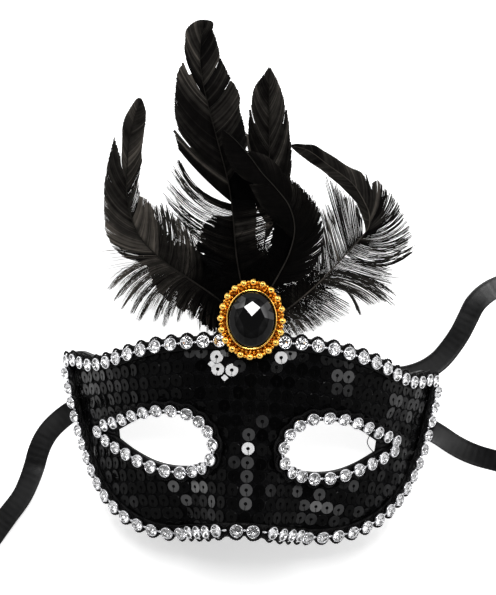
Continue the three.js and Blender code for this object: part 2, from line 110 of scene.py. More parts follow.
def add_camera():
    data = bpy.data.cameras.new("camera")
    data.sensor_fit = "HORIZONTAL"
    data.sensor_width = CAMERA_SENSOR
    data.lens = CAMERA_LENS
    camera = bpy.data.objects.new("camera", data)
    camera.location = CAMERA_PLACE
    camera.rotation_euler = (0, 0, CAMERA_ROLL)
    bpy.context.scene.collection.objects.link(camera)
    bpy.context.scene.camera = camera


add_camera()


# The photo is 496 pixels wide and 595 high. Places read off it are written as its pixels, and lie where a
# view with these measures shows them. The camera above repeats that view, rounded.
PHOTO_MIDDLE = (248, 297.5)
PHOTO_FOCAL = 1692
PHOTO_FROM = (-3.02, 65.58, 800)


def in_plan(pixel, height):
    """The place in plan that a pixel of the photo shows at a height over the table."""
    right, up = (pixel[0] - PHOTO_MIDDLE[0]) / PHOTO_FOCAL, (PHOTO_MIDDLE[1] - pixel[1]) / PHOTO_FOCAL
    distance = PHOTO_FROM[2] - height
    x = PHOTO_FROM[0] + distance * (right * math.cos(CAMERA_ROLL) - up * math.sin(CAMERA_ROLL))
    y = PHOTO_FROM[1] + distance * (right * math.sin(CAMERA_ROLL) + up * math.cos(CAMERA_ROLL))
    return x, y


def in_photo(points):
    """The pixels of the photo that show some points."""
    x, y = ((points - PHOTO_FROM)[:, :2] / (PHOTO_FROM[2] - points[:, 2:])).T
    right = x * math.cos(CAMERA_ROLL) + y * math.sin(CAMERA_ROLL)
    up = y * math.cos(CAMERA_ROLL) - x * math.sin(CAMERA_ROLL)
    return np.stack([PHOTO_MIDDLE[0] + PHOTO_FOCAL * right, PHOTO_MIDDLE[1] - PHOTO_FOCAL * up], axis=1)


# Curves

def through(stations):
    """A smooth curve through stations (place, value), straight beyond its ends."""
    places, values = np.array(stations, float).T
    before = np.maximum(np.arange(len(places)) - 1, 0)
    after = np.minimum(np.arange(len(places)) + 1, len(places) - 1)
    slopes = (values[after] - values[before]) / (places[after] - places[before])

    def curve(place):
        place = np.asarray(place, float)
        inside = np.clip(place, places[0], places[-1])
        i = np.clip(np.searchsorted(places, inside, side="right") - 1, 0, len(places) - 2)
        step = places[i + 1] - places[i]
        u = (inside - places[i]) / step
        rise = u * u * (3 - 2 * u)
        bend = u * (1 - u) * step
        value = values[i] * (1 - rise) + values[i + 1] * rise
        value = value + bend * ((1 - u) * slopes[i] - u * slopes[i + 1])
        return value + np.where(place < places[0], slopes[0], slopes[-1]) * (place - inside)

    return curve


def between(stations, place, column=1):
    """The value at a place, in straight lines between stations (place, value, ...)."""
    table = np.array(stations, float)
    return np.interp(place, table[:, 0], table[:, column])


def unit(vectors):
    return vectors / np.maximum(np.linalg.norm(vectors, axis=-1, keepdims=True), 1e-12)


def smooth_line(points, closed=False, per_span=24):
    """A centripetal Catmull-Rom curve through points."""
    points = np.asarray(points, float)
    if closed:
        ring = np.concatenate([points[-1:], points, points[:2]])
    else:
        ring = np.concatenate([2 * points[:1] - points[1:2], points, 2 * points[-1:] - points[-2:-1]])
    gaps = np.sqrt(np.linalg.norm(np.diff(ring, axis=0), axis=1))[:, None]
    p0, p1, p2, p3 = ring[:-3], ring[1:-2], ring[2:-1], ring[3:]
    g0, g1, g2 = gaps[:-2], gaps[1:-1], gaps[2:]
    leaving = ((p1 - p0) / g0 - (p2 - p0) / (g0 + g1) + (p2 - p1) / g1) * g1
    arriving = ((p2 - p1) / g1 - (p3 - p1) / (g1 + g2) + (p3 - p2) / g2) * g1
    u = (np.arange(per_span) / per_span)[None, :, None]
    line = p1[:, None] * (2 * u**3 - 3 * u**2 + 1) + p2[:, None] * (3 * u**2 - 2 * u**3)
    line = line + leaving[:, None] * (u**3 - 2 * u**2 + u) + arriving[:, None] * (u**3 - u**2)
    line = line.reshape(-1, points.shape[1])
    return line if closed else np.concatenate([line, points[-1:]])


def run_lengths(line):
    return np.concatenate([[0], np.cumsum(np.linalg.norm(np.diff(line, axis=0), axis=1))])


def evenly(line, count, closed=False):
    """Evenly spaced points along a line; round a closed one the last isn't the first again."""
    if closed:
        line = np.concatenate([line, line[:1]])
    lengths = run_lengths(line)
    places = np.linspace(0, lengths[-1], count, endpoint=not closed)
    return np.stack([np.interp(places, lengths, column) for column in line.T], axis=1)


arch = through(ARCH)
reach_left = through(REACH_LEFT)
reach_right = through(REACH_RIGHT)
nose_height = through(NOSE_HEIGHT)
nose_foot = through(NOSE_FOOT)


def face_height(x, y):
    """Height of the moulded face over the table."""
    side = np.abs(x)
    reach = np.where(np.asarray(x) < 0, reach_left(y), reach_right(y))
    face = arch(y) * (1 - (side / reach) ** FACE_POWER)
    t = np.clip((side - NOSE_RIDGE) / (nose_foot(y) - NOSE_RIDGE), 0, 1)
    return face + np.maximum(0, nose_height(y)) * (1 - t * t * (3 - 2 * t))


def face_normal(x, y):
    step = 0.5
    slope_x = (face_height(x + step, y) - face_height(x - step, y)) / (2 * step)
    slope_y = (face_height(x, y + step) - face_height(x, y - step)) / (2 * step)
    return unit(np.stack([-slope_x, -slope_y, np.ones_like(slope_x)], axis=-1))


def on_face(x, y, lift=0.0):
    x, y = np.asarray(x, float), np.asarray(y, float)
    points = np.stack([x, y, face_height(x, y)], axis=-1)
    return points + face_normal(x, y) * np.asarray(lift, float)[..., None]


class StoneLine:
    """The closed line on the face that a chain of stones follows. Places along it are counted in stones."""

    def __init__(self, outline):
        plan = smooth_line(outline, closed=True)
        raised = on_face(plan[:, 0], plan[:, 1])
        length = run_lengths(np.concatenate([raised, raised[:1]]))[-1]
        self.stones = round(length / STONE_PITCH)
        self.place = evenly(raised, self.stones * STATIONS_PER_STONE, closed=True)
        before, after = np.roll(self.place, 1, axis=0), np.roll(self.place, -1, axis=0)
        x, y = self.place[:, 0], self.place[:, 1]
        turning = np.sign(np.sum(x * after[:, 1] - after[:, 0] * y))
        self.up = face_normal(x, y)
        self.out = unit(np.cross(unit(after - before), self.up)) * turning
        turn = unit(after - self.place) - unit(self.place - before)
        radius = np.linalg.norm(after - self.place, axis=1) / np.maximum(np.linalg.norm(turn, axis=1), 1e-6)
        free = np.where(np.sum(turn * self.out, axis=1) < 0, CORNER_SHARE * radius, UNLIMITED)
        gaps = np.linalg.norm(self.place[:, None] - self.place[None], axis=2)
        self.room_inside = np.min(free[None] + CORNER_WIDENING * gaps, axis=1)

    def _at(self, values, places):
        place = np.asarray(places, float) * STATIONS_PER_STONE
        first = np.floor(place).astype(int)
        share = (place - first)[..., None] if values.ndim > 1 else place - first
        count = len(values)
        return values[first % count] * (1 - share) + values[(first + 1) % count] * share

    def directions(self, places):
        """Along the line, out of the loop and out of the face."""
        out, up = unit(self._at(self.out, places)), unit(self._at(self.up, places))
        return np.cross(up, out), out, up

    def beside(self, places, across, lift):
        """Points beside the line: negative across is into the loop, where a tight corner limits it."""
        held = np.maximum(across, -self._at(self.room_inside, places))
        middle = self._at(self.place, places)
        _, out, up = self.directions(places)
        return middle + out * np.asarray(held)[..., None] + up * (np.zeros_like(held) + lift)[..., None]


EDGE = StoneLine(EDGE_LINE)
EYES = {"left": StoneLine([(-x, y) for x, y in EYE_LINE]), "right": StoneLine(EYE_LINE)}


# Meshes

class Pile:
    """Corners and triangles of one mesh, gathered part by part."""

    def __init__(self):
        self.corners, self.faces, self.tones, self.kinds, self.smooth = [], [], [], [], []
        self.count = 0

    def add(self, corners, faces, tone=0.5, kind=0, smooth=True):
        """tone is a shade from 0 to 1 for each corner; kind is the number of the material."""
        corners = np.asarray(corners, float).reshape(-1, 3)
        self.corners.append(corners)
        self.tones.append(np.zeros(len(corners)) + tone)
        self.add_faces(faces, self.count, kind, smooth)
        self.count += len(corners)

    def add_faces(self, faces, first, kind, smooth):
        """Faces on corners that are counted from a first one."""
        faces = triangles(faces)
        self.faces.append(faces + first)
        self.kinds.append(np.full(len(faces), kind))
        self.smooth.append(np.full(len(faces), smooth))

    def piece(self, name, materials, replaces=()):
        mesh = bpy.data.meshes.new(name)
        mesh.from_pydata(placed(np.concatenate(self.corners)), [], np.concatenate(self.faces))
        mesh.polygons.foreach_set("material_index", np.concatenate(self.kinds).astype(np.int32))
        mesh.polygons.foreach_set("use_smooth", np.concatenate(self.smooth))
        tone = mesh.attributes.new("tone", "FLOAT", "POINT")
        tone.data.foreach_set("value", np.concatenate(self.tones).astype(np.float32))
        for material in materials:
            mesh.materials.append(material)
        mesh.update()
        thing = bpy.data.objects.new(name, mesh)
        bpy.context.scene.collection.objects.link(thing)
        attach(thing, "root")
        if replaces:
            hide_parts(*replaces)
        return thing


def triangles(faces):
    """Triangles from an array of faces with three or four corners."""
    faces = np.asarray(faces, int)
    if faces.shape[1] == 3:
        return faces
    return np.concatenate([faces[:, [0, 1, 2]], faces[:, [0, 2, 3]]])


def lathe_faces(rings, sides, ring_closed=True, run_closed=False):
    """Quads of a grid of corners: rings one after another, each with the same number of sides."""
    ring = np.arange(rings if run_closed else rings - 1)[:, None]
    side = np.arange(sides if ring_closed else sides - 1)[None]
    a = ring * sides + side
    b = ring * sides + (side + 1) % sides
    lift = ((ring + 1) % rings - ring) * sides
    return np.stack([a, b, b + lift, a + lift], axis=-1).reshape(-1, 4)


def tube(line, radius, sides=6, up=(0, 0, 1), closed=False):
    """Corners and faces of a round cord along a line."""
    line = np.asarray(line, float)
    if closed:
        along = unit(np.roll(line, -1, axis=0) - np.roll(line, 1, axis=0))
    else:
        along = unit(np.gradient(line, axis=0))
    side = unit(np.cross(along, np.asarray(up, float)))
    rise = np.cross(side, along)
    turn = np.linspace(0, 2 * math.pi, sides, endpoint=False)[None, :, None]
    radii = (np.zeros(len(line)) + radius)[:, None, None]
    corners = line[:, None] + radii * (np.cos(turn) * side[:, None] + np.sin(turn) * rise[:, None])
    faces = triangles(lathe_faces(len(line), sides, run_closed=closed))
    if not closed:
        faces = np.concatenate([faces, end_faces(len(line), sides)])
    return corners.reshape(-1, 3), faces


def end_faces(rings, sides):
    """The flat ends of an open run of rings."""
    end = np.array([(0, k + 1, k) for k in range(1, sides - 1)])
    last = (rings - 1) * sides
    return np.concatenate([end, last + end[:, ::-1]])


def ball(centre, radius, sides=12, rings=7):
    """Corners and faces of a sphere with its poles up and down."""
    rise = np.linspace(-math.pi / 2, math.pi / 2, rings + 2)[1:-1][:, None]
    turn = np.linspace(0, 2 * math.pi, sides, endpoint=False)[None]
    body = np.stack(
        [np.cos(rise) * np.cos(turn), np.cos(rise) * np.sin(turn), np.sin(rise) + 0 * turn], axis=-1
    ).reshape(-1, 3)
    corners = np.concatenate([body, [(0, 0, -1), (0, 0, 1)]]) * radius + np.asarray(centre)
    k = np.arange(sides)
    after = (k + 1) % sides
    top = (rings - 1) * sides
    faces = triangles(lathe_faces(rings, sides))
    foot = np.stack([after, k, np.full(sides, rings * sides)], axis=1)
    head = np.stack([top + k, top + after, np.full(sides, rings * sides + 1)], axis=1)
    return corners, np.concatenate([faces, foot, head])


def copies(corners, faces, origins, axes):
    """Corners and faces of copies of a small part, each at an origin and turned to its own three axes."""
    corners = np.asarray(corners, float)
    axes = np.stack(axes, axis=1)
    moved = origins[:, None] + np.einsum("ck,nkd->ncd", corners, axes)
    steps = (np.arange(len(origins)) * len(corners))[:, None, None]
    return moved.reshape(-1, 3), (triangles(faces)[None] + steps).reshape(-1, 3)


# Materials

def new_material(name, colour, **values):
    """A material and its main shader; plain values go straight to the shader's own sockets."""
    material = bpy.data.materials.new(name)
    material.use_nodes = True
    shader = material.node_tree.nodes["Principled BSDF"]
    shader.inputs["Base Color"].default_value = (*colour, 1)
    for socket, value in values.items():
        shader.inputs[socket.replace("_", " ")].default_value = value
    return material, shader


def add_node(material, kind, **inputs):
    made = material.node_tree.nodes.new(kind)
    for socket, value in inputs.items():
        made.inputs[socket.replace("_", " ")].default_value = value
    return made


def link(material, output, target):
    material.node_tree.links.new(output, target)


def add_noise(material, scale, detail=2.0, roughness=0.5):
    place = add_node(material, "ShaderNodeTexCoord")
    noise = add_node(material, "ShaderNodeTexNoise", Scale=scale, Detail=detail, Roughness=roughness)
    link(material, place.outputs["Object"], noise.inputs["Vector"])
    return noise.outputs["Fac"]


def add_bump(material, shader, height, strength, distance):
    bump = add_node(material, "ShaderNodeBump", Strength=strength, Distance=distance)
    link(material, height, bump.inputs["Height"])
    link(material, bump.outputs["Normal"], shader.inputs["Normal"])


def add_ramp(material, factor, stops, target):
    """Colours or shades along a factor, led into a shader's socket."""
    ramp = material.node_tree.nodes.new("ShaderNodeValToRGB")
    while len(ramp.color_ramp.elements) < len(stops):
        ramp.color_ramp.elements.new(0.5)
    for element, (place, colour) in zip(ramp.color_ramp.elements, stops):
        element.position = place
        element.color = (*colour, 1) if hasattr(colour, "__len__") else (colour, colour, colour, 1)
    link(material, factor, ramp.inputs["Fac"])
    link(material, ramp.outputs["Color"], target)


def tone_of(material):
    tone = add_node(material, "ShaderNodeAttribute")
    tone.attribute_name = "tone"
    return tone.outputs["Fac"]


def mixed(material, first, second, share):
    mix = material.node_tree.nodes.new("ShaderNodeMix")
    mix.inputs["Factor"].default_value = share
    link(material, first, mix.inputs["A"])
    link(material, second, mix.inputs["B"])
    return mix.outputs["Result"]


def shell_material():
    material, shader = new_material(
        "moulded_plastic", (0.006, 0.006, 0.006), Roughness=0.5, Specular_IOR_Level=0.3
    )
    grain = add_noise(material, 900, detail=4)
    add_ramp(material, grain, [(0.3, 0.42), (0.7, 0.62)], shader.inputs["Roughness"])
    add_bump(material, shader, grain, 0.3, 0.0002)
    return material


def cloth_material():
    """Black backing net under the sequins."""
    material, shader = new_material(
        "sequin_ground", (0.002, 0.002, 0.002), Roughness=0.75, Specular_IOR_Level=0.05
    )
    place = add_node(material, "ShaderNodeTexCoord")
    weave = add_node(material, "ShaderNodeTexVoronoi", Scale=1400.0)
    link(material, place.outputs["Object"], weave.inputs["Vector"])
    threads = [(0.1, (0.004, 0.004, 0.0045)), (0.6, (0.001, 0.001, 0.0012))]
    add_ramp(material, weave.outputs["Distance"], threads, shader.inputs["Base Color"])
    add_bump(material, shader, weave.outputs["Distance"], 0.8, 0.0003)
    return material


def sequin_material():
    """Black foil discs, painted paler where the tone is high: a painted reflection on sequins that face the
    light.
    """
    material, shader = new_material(
        "sequin", (0.002, 0.002, 0.002), Roughness=0.2, IOR=1.5, Specular_IOR_Level=0.06
    )
    shade = mixed(material, tone_of(material), add_noise(material, 260, detail=3), 0.12)
    add_ramp(
        material, shade,
        [(0.1, (0.0008, 0.0008, 0.0009)), (0.35, (0.0022, 0.0022, 0.0023)), (0.5, (0.014, 0.014, 0.0145)),
         (0.72, (0.07, 0.07, 0.071)), (0.9, (0.16, 0.16, 0.16))],
        shader.inputs["Base Color"],
    )
    add_ramp(material, shade, [(0.2, 0.16), (0.8, 0.34)], shader.inputs["Roughness"])
    return material


def painted_glint_material():
    """Discs and spangles painted pale grey, a painted highlight, on top of the key light that they are
    turned to throw at the camera.
    """
    material, shader = new_material(
        "sequin_painted_glint", (0.5, 0.5, 0.5), Roughness=0.3, Specular_IOR_Level=0.35
    )
    grain = add_noise(material, 400, detail=2)
    greys = [(0.3, (0.28, 0.28, 0.29)), (0.7, (0.42, 0.42, 0.42))]
    add_ramp(material, grain, greys, shader.inputs["Base Color"])
    add_ramp(material, grain, [(0.3, 0.22), (0.7, 0.32)], shader.inputs["Roughness"])
    return material


def thread_material(name, roughness, specular):
    """Black gimp cord, its twist in the mesh and its fibres as fine relief."""
    material, shader = new_material(
        name, (0.002, 0.002, 0.002), Roughness=roughness, Specular_IOR_Level=specular
    )
    fibres = mixed(material, tone_of(material), add_noise(material, 2200, detail=3), 0.6)
    add_ramp(
        material, fibres, [(0.25, (0.001, 0.001, 0.0012)), (0.75, (0.005, 0.0047, 0.005))],
        shader.inputs["Base Color"],
    )
    add_bump(material, shader, fibres, 0.6, 0.0002)
    return material


def crystal_material():
    """Clear cut glass."""
    return new_material("crystal", (1, 1, 1), Roughness=0.0, IOR=1.6, Transmission_Weight=1.0)[0]


def silver_material(name, colour, low, high):
    """Silver or foil, its roughness between low and high."""
    material, shader = new_material(name, colour, Metallic=1.0)
    wear = add_noise(material, 500, detail=3)
    add_ramp(material, wear, [(0.3, low), (0.7, high)], shader.inputs["Roughness"])
    return material


def gold_material():
    material, shader = new_material("gilt_metal", (0.95, 0.5, 0.08), Metallic=1.0)
    painted_shade_and_grain = mixed(material, tone_of(material), add_noise(material, 700, detail=4), 0.25)
    # Low tones are painted dark brown: a painted shade on the plate, on the floor under the stone and on the
    # grains between the beads.
    add_ramp(
        material, painted_shade_and_grain,
        [(0.2, (0.3, 0.085, 0.006)), (0.45, (0.7, 0.3, 0.025)), (0.75, (1.0, 0.6, 0.13))],
        shader.inputs["Base Color"],
    )
    add_ramp(material, painted_shade_and_grain, [(0.2, 0.3), (0.8, 0.09)], shader.inputs["Roughness"])
    return material


def jet_material():
    """Black glass; its outer facets, of low tone, are duller."""
    material, shader = new_material("jet_glass", (0.002, 0.002, 0.0022), IOR=1.55)
    add_ramp(material, tone_of(material), [(0.3, 0.22), (0.9, 0.6)], shader.inputs["Specular IOR Level"])
    add_ramp(material, add_noise(material, 300), [(0.3, 0.02), (0.7, 0.06)], shader.inputs["Roughness"])
    return material


def feather_material():
    """Dyed black barbs, painted browner and paler where the tone is high: partly their own streaks, partly a
    painted sheen that stands in for their gloss.
    """
    material, shader = new_material(
        "dyed_feather_painted_sheen", (0.01, 0.009, 0.008), Roughness=0.5, Specular_IOR_Level=0.015
    )
    streak_and_sheen = mixed(material, tone_of(material), add_noise(material, 260, detail=3), 0.25)
    add_ramp(
        material, streak_and_sheen,
        [(0.15, (0.0008, 0.0008, 0.0009)), (0.4, (0.004, 0.0036, 0.0033)), (0.65, (0.024, 0.022, 0.0195)),
         (1, (0.12, 0.105, 0.09))],
        shader.inputs["Base Color"],
    )
    add_ramp(material, streak_and_sheen, [(0.2, 0.38), (0.9, 0.62)], shader.inputs["Roughness"])
    return material


def satin_material():
    """Black satin: fine ribs across the ribbon and a sheen along it."""
    material, shader = new_material(
        "satin", (0.002, 0.002, 0.0022), Roughness=0.36, Specular_IOR_Level=0.35, Anisotropic=0.5
    )
    shade = mixed(material, tone_of(material), add_noise(material, 420, detail=3), 0.5)
    add_ramp(
        material, shade, [(0.3, (0.0015, 0.0015, 0.0017)), (0.8, (0.005, 0.005, 0.0055))],
        shader.inputs["Base Color"],
    )
    add_ramp(material, shade, [(0.3, 0.32), (0.8, 0.46)], shader.inputs["Roughness"])
    return material


SHELL_LOOK = shell_material()
CLOTH_LOOK = cloth_material()
SEQUIN_PAINTED_SHEEN_LOOK = sequin_material()
PAINTED_GLINT_LOOK = painted_glint_material()
GIMP_LOOK = thread_material("gimp_cord", 0.4, 0.1)
SEWING_LOOK = thread_material("sewing_thread", 0.6, 0.03)
CRYSTAL_LOOK = crystal_material()
FOIL_LOOK = silver_material("stone_foil", (0.97, 0.97, 0.98), 0.02, 0.06)
SILVER_LOOK = silver_material("silver_cup", (0.72, 0.72, 0.74), 0.18, 0.35)
GOLD_LOOK = gold_material()
JET_LOOK = jet_material()
FEATHER_LOOK = feather_material()
SATIN_LOOK = satin_material()


# Ribbons, from where they are glued inside the temples, under the shell's edge and along the table.
REST = RIBBON["rest"]
RIBBON_LEFT = [
    (-68, 16.4, 13.4), (-69.6, 16, 9), (-71.2, 15.4, 5), (-72.8, 14.6, 1.9), (-75.2, 13.4, 0.65),
    (-78.6, 11.5, REST), (-82.2, 9.2, REST), (-86.2, 6.3, REST), (-90.2, 2.7, REST), (-94, -1.7, REST),
    (-96.9, -6.9, REST), (-98.8, -12.4, REST), (-100.2, -18.4, REST), (-102.2, -25.2, REST),
    (-105.4, -33, REST), (-112.2, -43.2, REST), (-119.5, -54.5, REST),
]
LEFT_TURN = {"x": -170, "y": -40, "start": -28, "sweep": 335, "from": 51, "to": 39, "steps": 26}
RIBBON_RIGHT = [
    (70.6, 11.6, 13.4), (72.4, 11.4, 9), (74, 11.1, 5), (75.6, 10.6, 1.9), (78, 10, 0.65), (82, 8.8, REST),
    (86, 7.1, REST), (91.2, 4.3, REST), (96.4, 1.1, REST), (102.7, -2, REST), (109, -4.2, REST),
    (118, -6.2, REST), (130, -8.6, REST), (143.5, -9.8, REST), (157, -8.6, REST), (169.8, -4.4, REST),
    (180.8, 2.8, REST), (189.4, 13, REST), (194.6, 25.4, REST), (195.6, 38.8, REST), (192.2, 51.8, REST),
    (184.8, 63.4, REST), (174.2, 72.8, REST), (161.4, 79.2, REST), (147.8, 82, REST), (134.2, 81.8, REST),
    (121.4, 78.6, REST), (111, 74, REST), (104.6, 67.8, REST), (101.2, 60.6, REST), (98, 53.6, REST),
    (93.8, 46.6, REST), (88.8, 40.2, REST), (82.8, 35.6, REST), (76, 32.6, REST), (69.4, 31, REST),
]
# How far each ribbon leans over on one edge, in degrees, at shares of its length.
LEAN_LEFT = [(0, 0), (0.08, 0), (0.13, 8), (0.19, -14), (0.25, -4), (0.34, 9), (0.42, 0), (1, 0)]
LEAN_RIGHT = [
    (0, 0), (0.06, 0), (0.11, 7), (0.17, -6), (0.24, 0), (0.6, 0), (0.72, 5), (0.8, -10), (0.88, 3),
    (0.93, 0), (1, 0),
]
# A ribbon's section from edge to edge: places as shares of its half width, and shares of its half thickness.
SECTION_PLACES = [-1, -0.94, -0.86, -0.6, -0.3, 0, 0.3, 0.6, 0.86, 0.94, 1]
SECTION_THICKNESS = [0.3, 1, 0.55, 0.5, 0.5, 0.5, 0.5, 0.5, 0.55, 1, 0.3]
# The tone of the ribs across a ribbon, and how far it turns from one step to the next.
RIB = {"tone": 0.5, "swing": 0.3, "turn": 2.4}


def left_turn():
    turn = LEFT_TURN
    shares = np.linspace(0, 1, turn["steps"] + 1)
    angles = np.radians(turn["start"] - turn["sweep"] * shares)
    radii = turn["from"] + (turn["to"] - turn["from"]) * shares
    x = turn["x"] + radii * np.cos(angles)
    y = turn["y"] + radii * np.sin(angles)
    return [(a, b, REST) for a, b in zip(x, y)]


def ribbon(name, node, route, lean_stations):
    """A flat satin ribbon with a fine selvedge."""
    line = smooth_line(route)
    length = run_lengths(line)[-1]
    steps = round(length / RIBBON["step"])
    line = evenly(line, steps + 1)
    shares = np.linspace(0, 1, steps + 1)
    lean = np.radians(through(lean_stations)(shares))
    along = unit(np.gradient(line, axis=0))
    flat = unit(np.stack([along[:, 1], -along[:, 0], np.zeros(steps + 1)], axis=1))
    rise = np.cross(flat, along)
    across = flat * np.cos(lean)[:, None] + rise * np.sin(lean)[:, None]
    normal = np.cross(across, along)
    raised = line + np.array([0, 0, 1]) * (RIBBON["width"] / 2 * np.abs(np.sin(lean)))[:, None]
    half = np.array(SECTION_PLACES) * RIBBON["width"] / 2
    thick = np.array(SECTION_THICKNESS) * RIBBON["thickness"] / 2
    places = np.concatenate([half, half[::-1]])
    lifts = np.concatenate([thick, -thick])
    section = across[:, None] * places[None, :, None], normal[:, None] * lifts[None, :, None]
    corners = raised[:, None] + section[0] + section[1]
    swing = RIB["swing"] * np.sin(np.arange(steps + 1) * RIB["turn"])
    ribs = RIB["tone"] + swing[:, None] + 0 * places[None]
    faces = triangles(lathe_faces(steps + 1, len(places)))
    end = len(half)
    cap = np.array([(k, k + 1, 2 * end - 2 - k, 2 * end - 1 - k) for k in range(end - 1)])
    faces = np.concatenate([faces, triangles(cap[:, ::-1]), triangles(cap + steps * 2 * end)])
    pile = Pile()
    pile.add(corners, faces, tone=ribs.reshape(-1))
    thing = pile.piece(name, [SATIN_LOOK], [node])


ribbon("satin_tie_left", "ribbon_left", RIBBON_LEFT + left_turn(), LEAN_LEFT)
ribbon("satin_tie_right", "ribbon_right", RIBBON_RIGHT, LEAN_RIGHT)


# Shell and cloth

def within(points, outline):
    """Which points of the plan lie inside a closed outline."""
    x, y = points[:, 0][:, None], points[:, 1][:, None]
    x1, y1 = outline[:, 0][None], outline[:, 1][None]
    x2, y2 = np.roll(x1, -1, axis=1), np.roll(y1, -1, axis=1)
    crosses = (y1 > y) != (y2 > y)
    rise = np.where(y2 == y1, 1e-12, y2 - y1)
    return np.sum(crosses & (x < (x2 - x1) * (y - y1) / rise + x1), axis=1) % 2 == 1


def distance_to(points, outline):
    return np.min(np.linalg.norm(points[:, None] - outline[None], axis=2), axis=1)


def plan_of(line, across, lift=0, per_stone=6):
    places = np.arange(line.stones * per_stone) / per_stone
    return line.beside(places, np.full(len(places), float(across)), lift)[:, :2]


# The grid of points that the plan is filled with, and the least gap to an outline as a share of its spacing.
GRID = {"low": -52, "high": 56, "side": 96, "spacing": 2.0, "clear": 0.6}
SAME_POINT = 1e-4


def mask_plan():
    """Points and triangles of the mask's plan, with its eyes open."""
    spacing = GRID["spacing"]
    edge = plan_of(EDGE, SHELL["outside"])
    eyes = [plan_of(line, -SHELL["eye"], SHELL["eye_lift"]) for line in EYES.values()]
    rows = np.arange(GRID["low"], GRID["high"], spacing * math.sqrt(3) / 2)
    columns = np.arange(-GRID["side"], GRID["side"], spacing)
    grid = np.array([(x + spacing / 2 * (j % 2), y) for j, y in enumerate(rows) for x in columns])
    clear = GRID["clear"] * spacing
    keep = within(grid, edge) & (distance_to(grid, edge) > clear)
    for eye in eyes:
        keep &= ~within(grid, eye) & (distance_to(grid, eye) > clear)
    points, edges = [], []
    for loop in [edge, *eyes]:
        first = sum(len(part) for part in points)
        edges += [(first + k, first + (k + 1) % len(loop)) for k in range(len(loop))]
        points.append(loop)
    points = np.concatenate([*points, grid[keep]])
    made = geometry.delaunay_2d_cdt([Vector(p) for p in points], edges, [], 0, SAME_POINT, False)
    places = np.array([tuple(p) for p in made[0]])
    faces = np.array([face for face in made[2] if len(face) == 3])
    middles = places[faces].mean(axis=1)
    inside = within(middles, edge)
    for eye in eyes:
        inside &= ~within(middles, eye)
    return places, faces[inside]


HEM_THICKNESS = 0.3


def raised_sheet(places, faces, low, high, hem):
    """A closed sheet over the plan between two heights over the face, and never under its hem."""
    layers = []
    for lift in (low, high):
        layer = on_face(places[:, 0], places[:, 1], np.full(len(places), float(lift)))
        foot = np.full(len(places), float(hem))
        for side, name in ((-1, "left"), (1, "right")):
            slot_low, slot_high = TABLE_SLOTS[name]
            slot = (layer[:, 1] > slot_low) & (layer[:, 1] < slot_high)
            slot &= side * layer[:, 0] > TABLE_SLOTS["from"]
            foot[slot] = max(hem, TABLE_SLOTS["height"])
        layer[:, 2] = np.maximum(layer[:, 2], foot + (HEM_THICKNESS if lift == high else 0))
        layers.append(layer)
    count = len(places)
    edges = np.concatenate([faces[:, [0, 1]], faces[:, [1, 2]], faces[:, [2, 0]]])
    seen = {}
    for a, b in edges.tolist():
        seen[(a, b)] = seen.get((a, b), 0) + 1
    rim = np.array([(a, b) for a, b in seen if (b, a) not in seen])
    walls = np.stack([rim[:, 0], rim[:, 0] + count, rim[:, 1] + count, rim[:, 1]], axis=1)
    return np.concatenate(layers), np.concatenate([faces[:, ::-1], faces + count]), walls


def add_sheet(name, node, look, layer):
    places, faces = PLAN
    corners, sheets, walls = raised_sheet(places, faces, layer["low"], layer["high"], layer["hem"])
    pile = Pile()
    pile.add(corners, np.concatenate([sheets, triangles(walls)]))
    return pile.piece(name, [look], [node])


PLAN = mask_plan()
add_sheet("moulded_shell", "mask_shell", SHELL_LOOK, SHELL)
add_sheet("sequin_ground", "sequin_cloth", CLOTH_LOOK, CLOTH)


# Light

KEY = {"place": (0.0, 0.42, 1.28), "size": 0.3, "radiance": 26.0}
LAMPS = [
    KEY,
    {"place": (-0.75, 0.55, 0.75), "size": 0.6, "radiance": 2.6},
    {"place": (0.8, 0.25, 0.7), "size": 0.6, "radiance": 2.2},
]
# Brightness of the studio round the scene, from the horizon (0) up to the zenith (1).
AIR = [(0, 0.75), (0.55, 0.85), (0.74, 0.25), (0.88, 0.06)]
FLOOR_COLOUR = (0.9, 0.9, 0.9)
# Glow of the light table at a near and a far place up the plan; the weaker glow on the near side is a
# painted shadow.
FLOOR_GLOW = {"near": -52, "far": -18, "painted_shadow_glow": 0.37, "far_glow": 0.8}
FLOOR_HALF = 3.0


def add_lights():
    for number, lamp in enumerate(LAMPS):
        data = bpy.data.lights.new(f"lamp_{number}", "AREA")
        data.shape = "SQUARE"
        data.size = lamp["size"]
        data.energy = lamp["radiance"] * math.pi * lamp["size"] ** 2
        light = bpy.data.objects.new(f"lamp_{number}", data)
        light.location = lamp["place"]
        light.rotation_euler = (-Vector(lamp["place"])).to_track_quat("-Z", "Y").to_euler()
        bpy.context.scene.collection.objects.link(light)
    world = bpy.data.worlds.new("studio")
    world.use_nodes = True
    background = world.node_tree.nodes["Background"]
    place = world.node_tree.nodes.new("ShaderNodeTexCoord")
    split = world.node_tree.nodes.new("ShaderNodeSeparateXYZ")
    link(world, place.outputs["Generated"], split.inputs["Vector"])
    add_ramp(world, split.outputs["Z"], AIR, background.inputs["Color"])
    bpy.context.scene.world = world
    bpy.context.scene.view_settings.view_transform = "Standard"


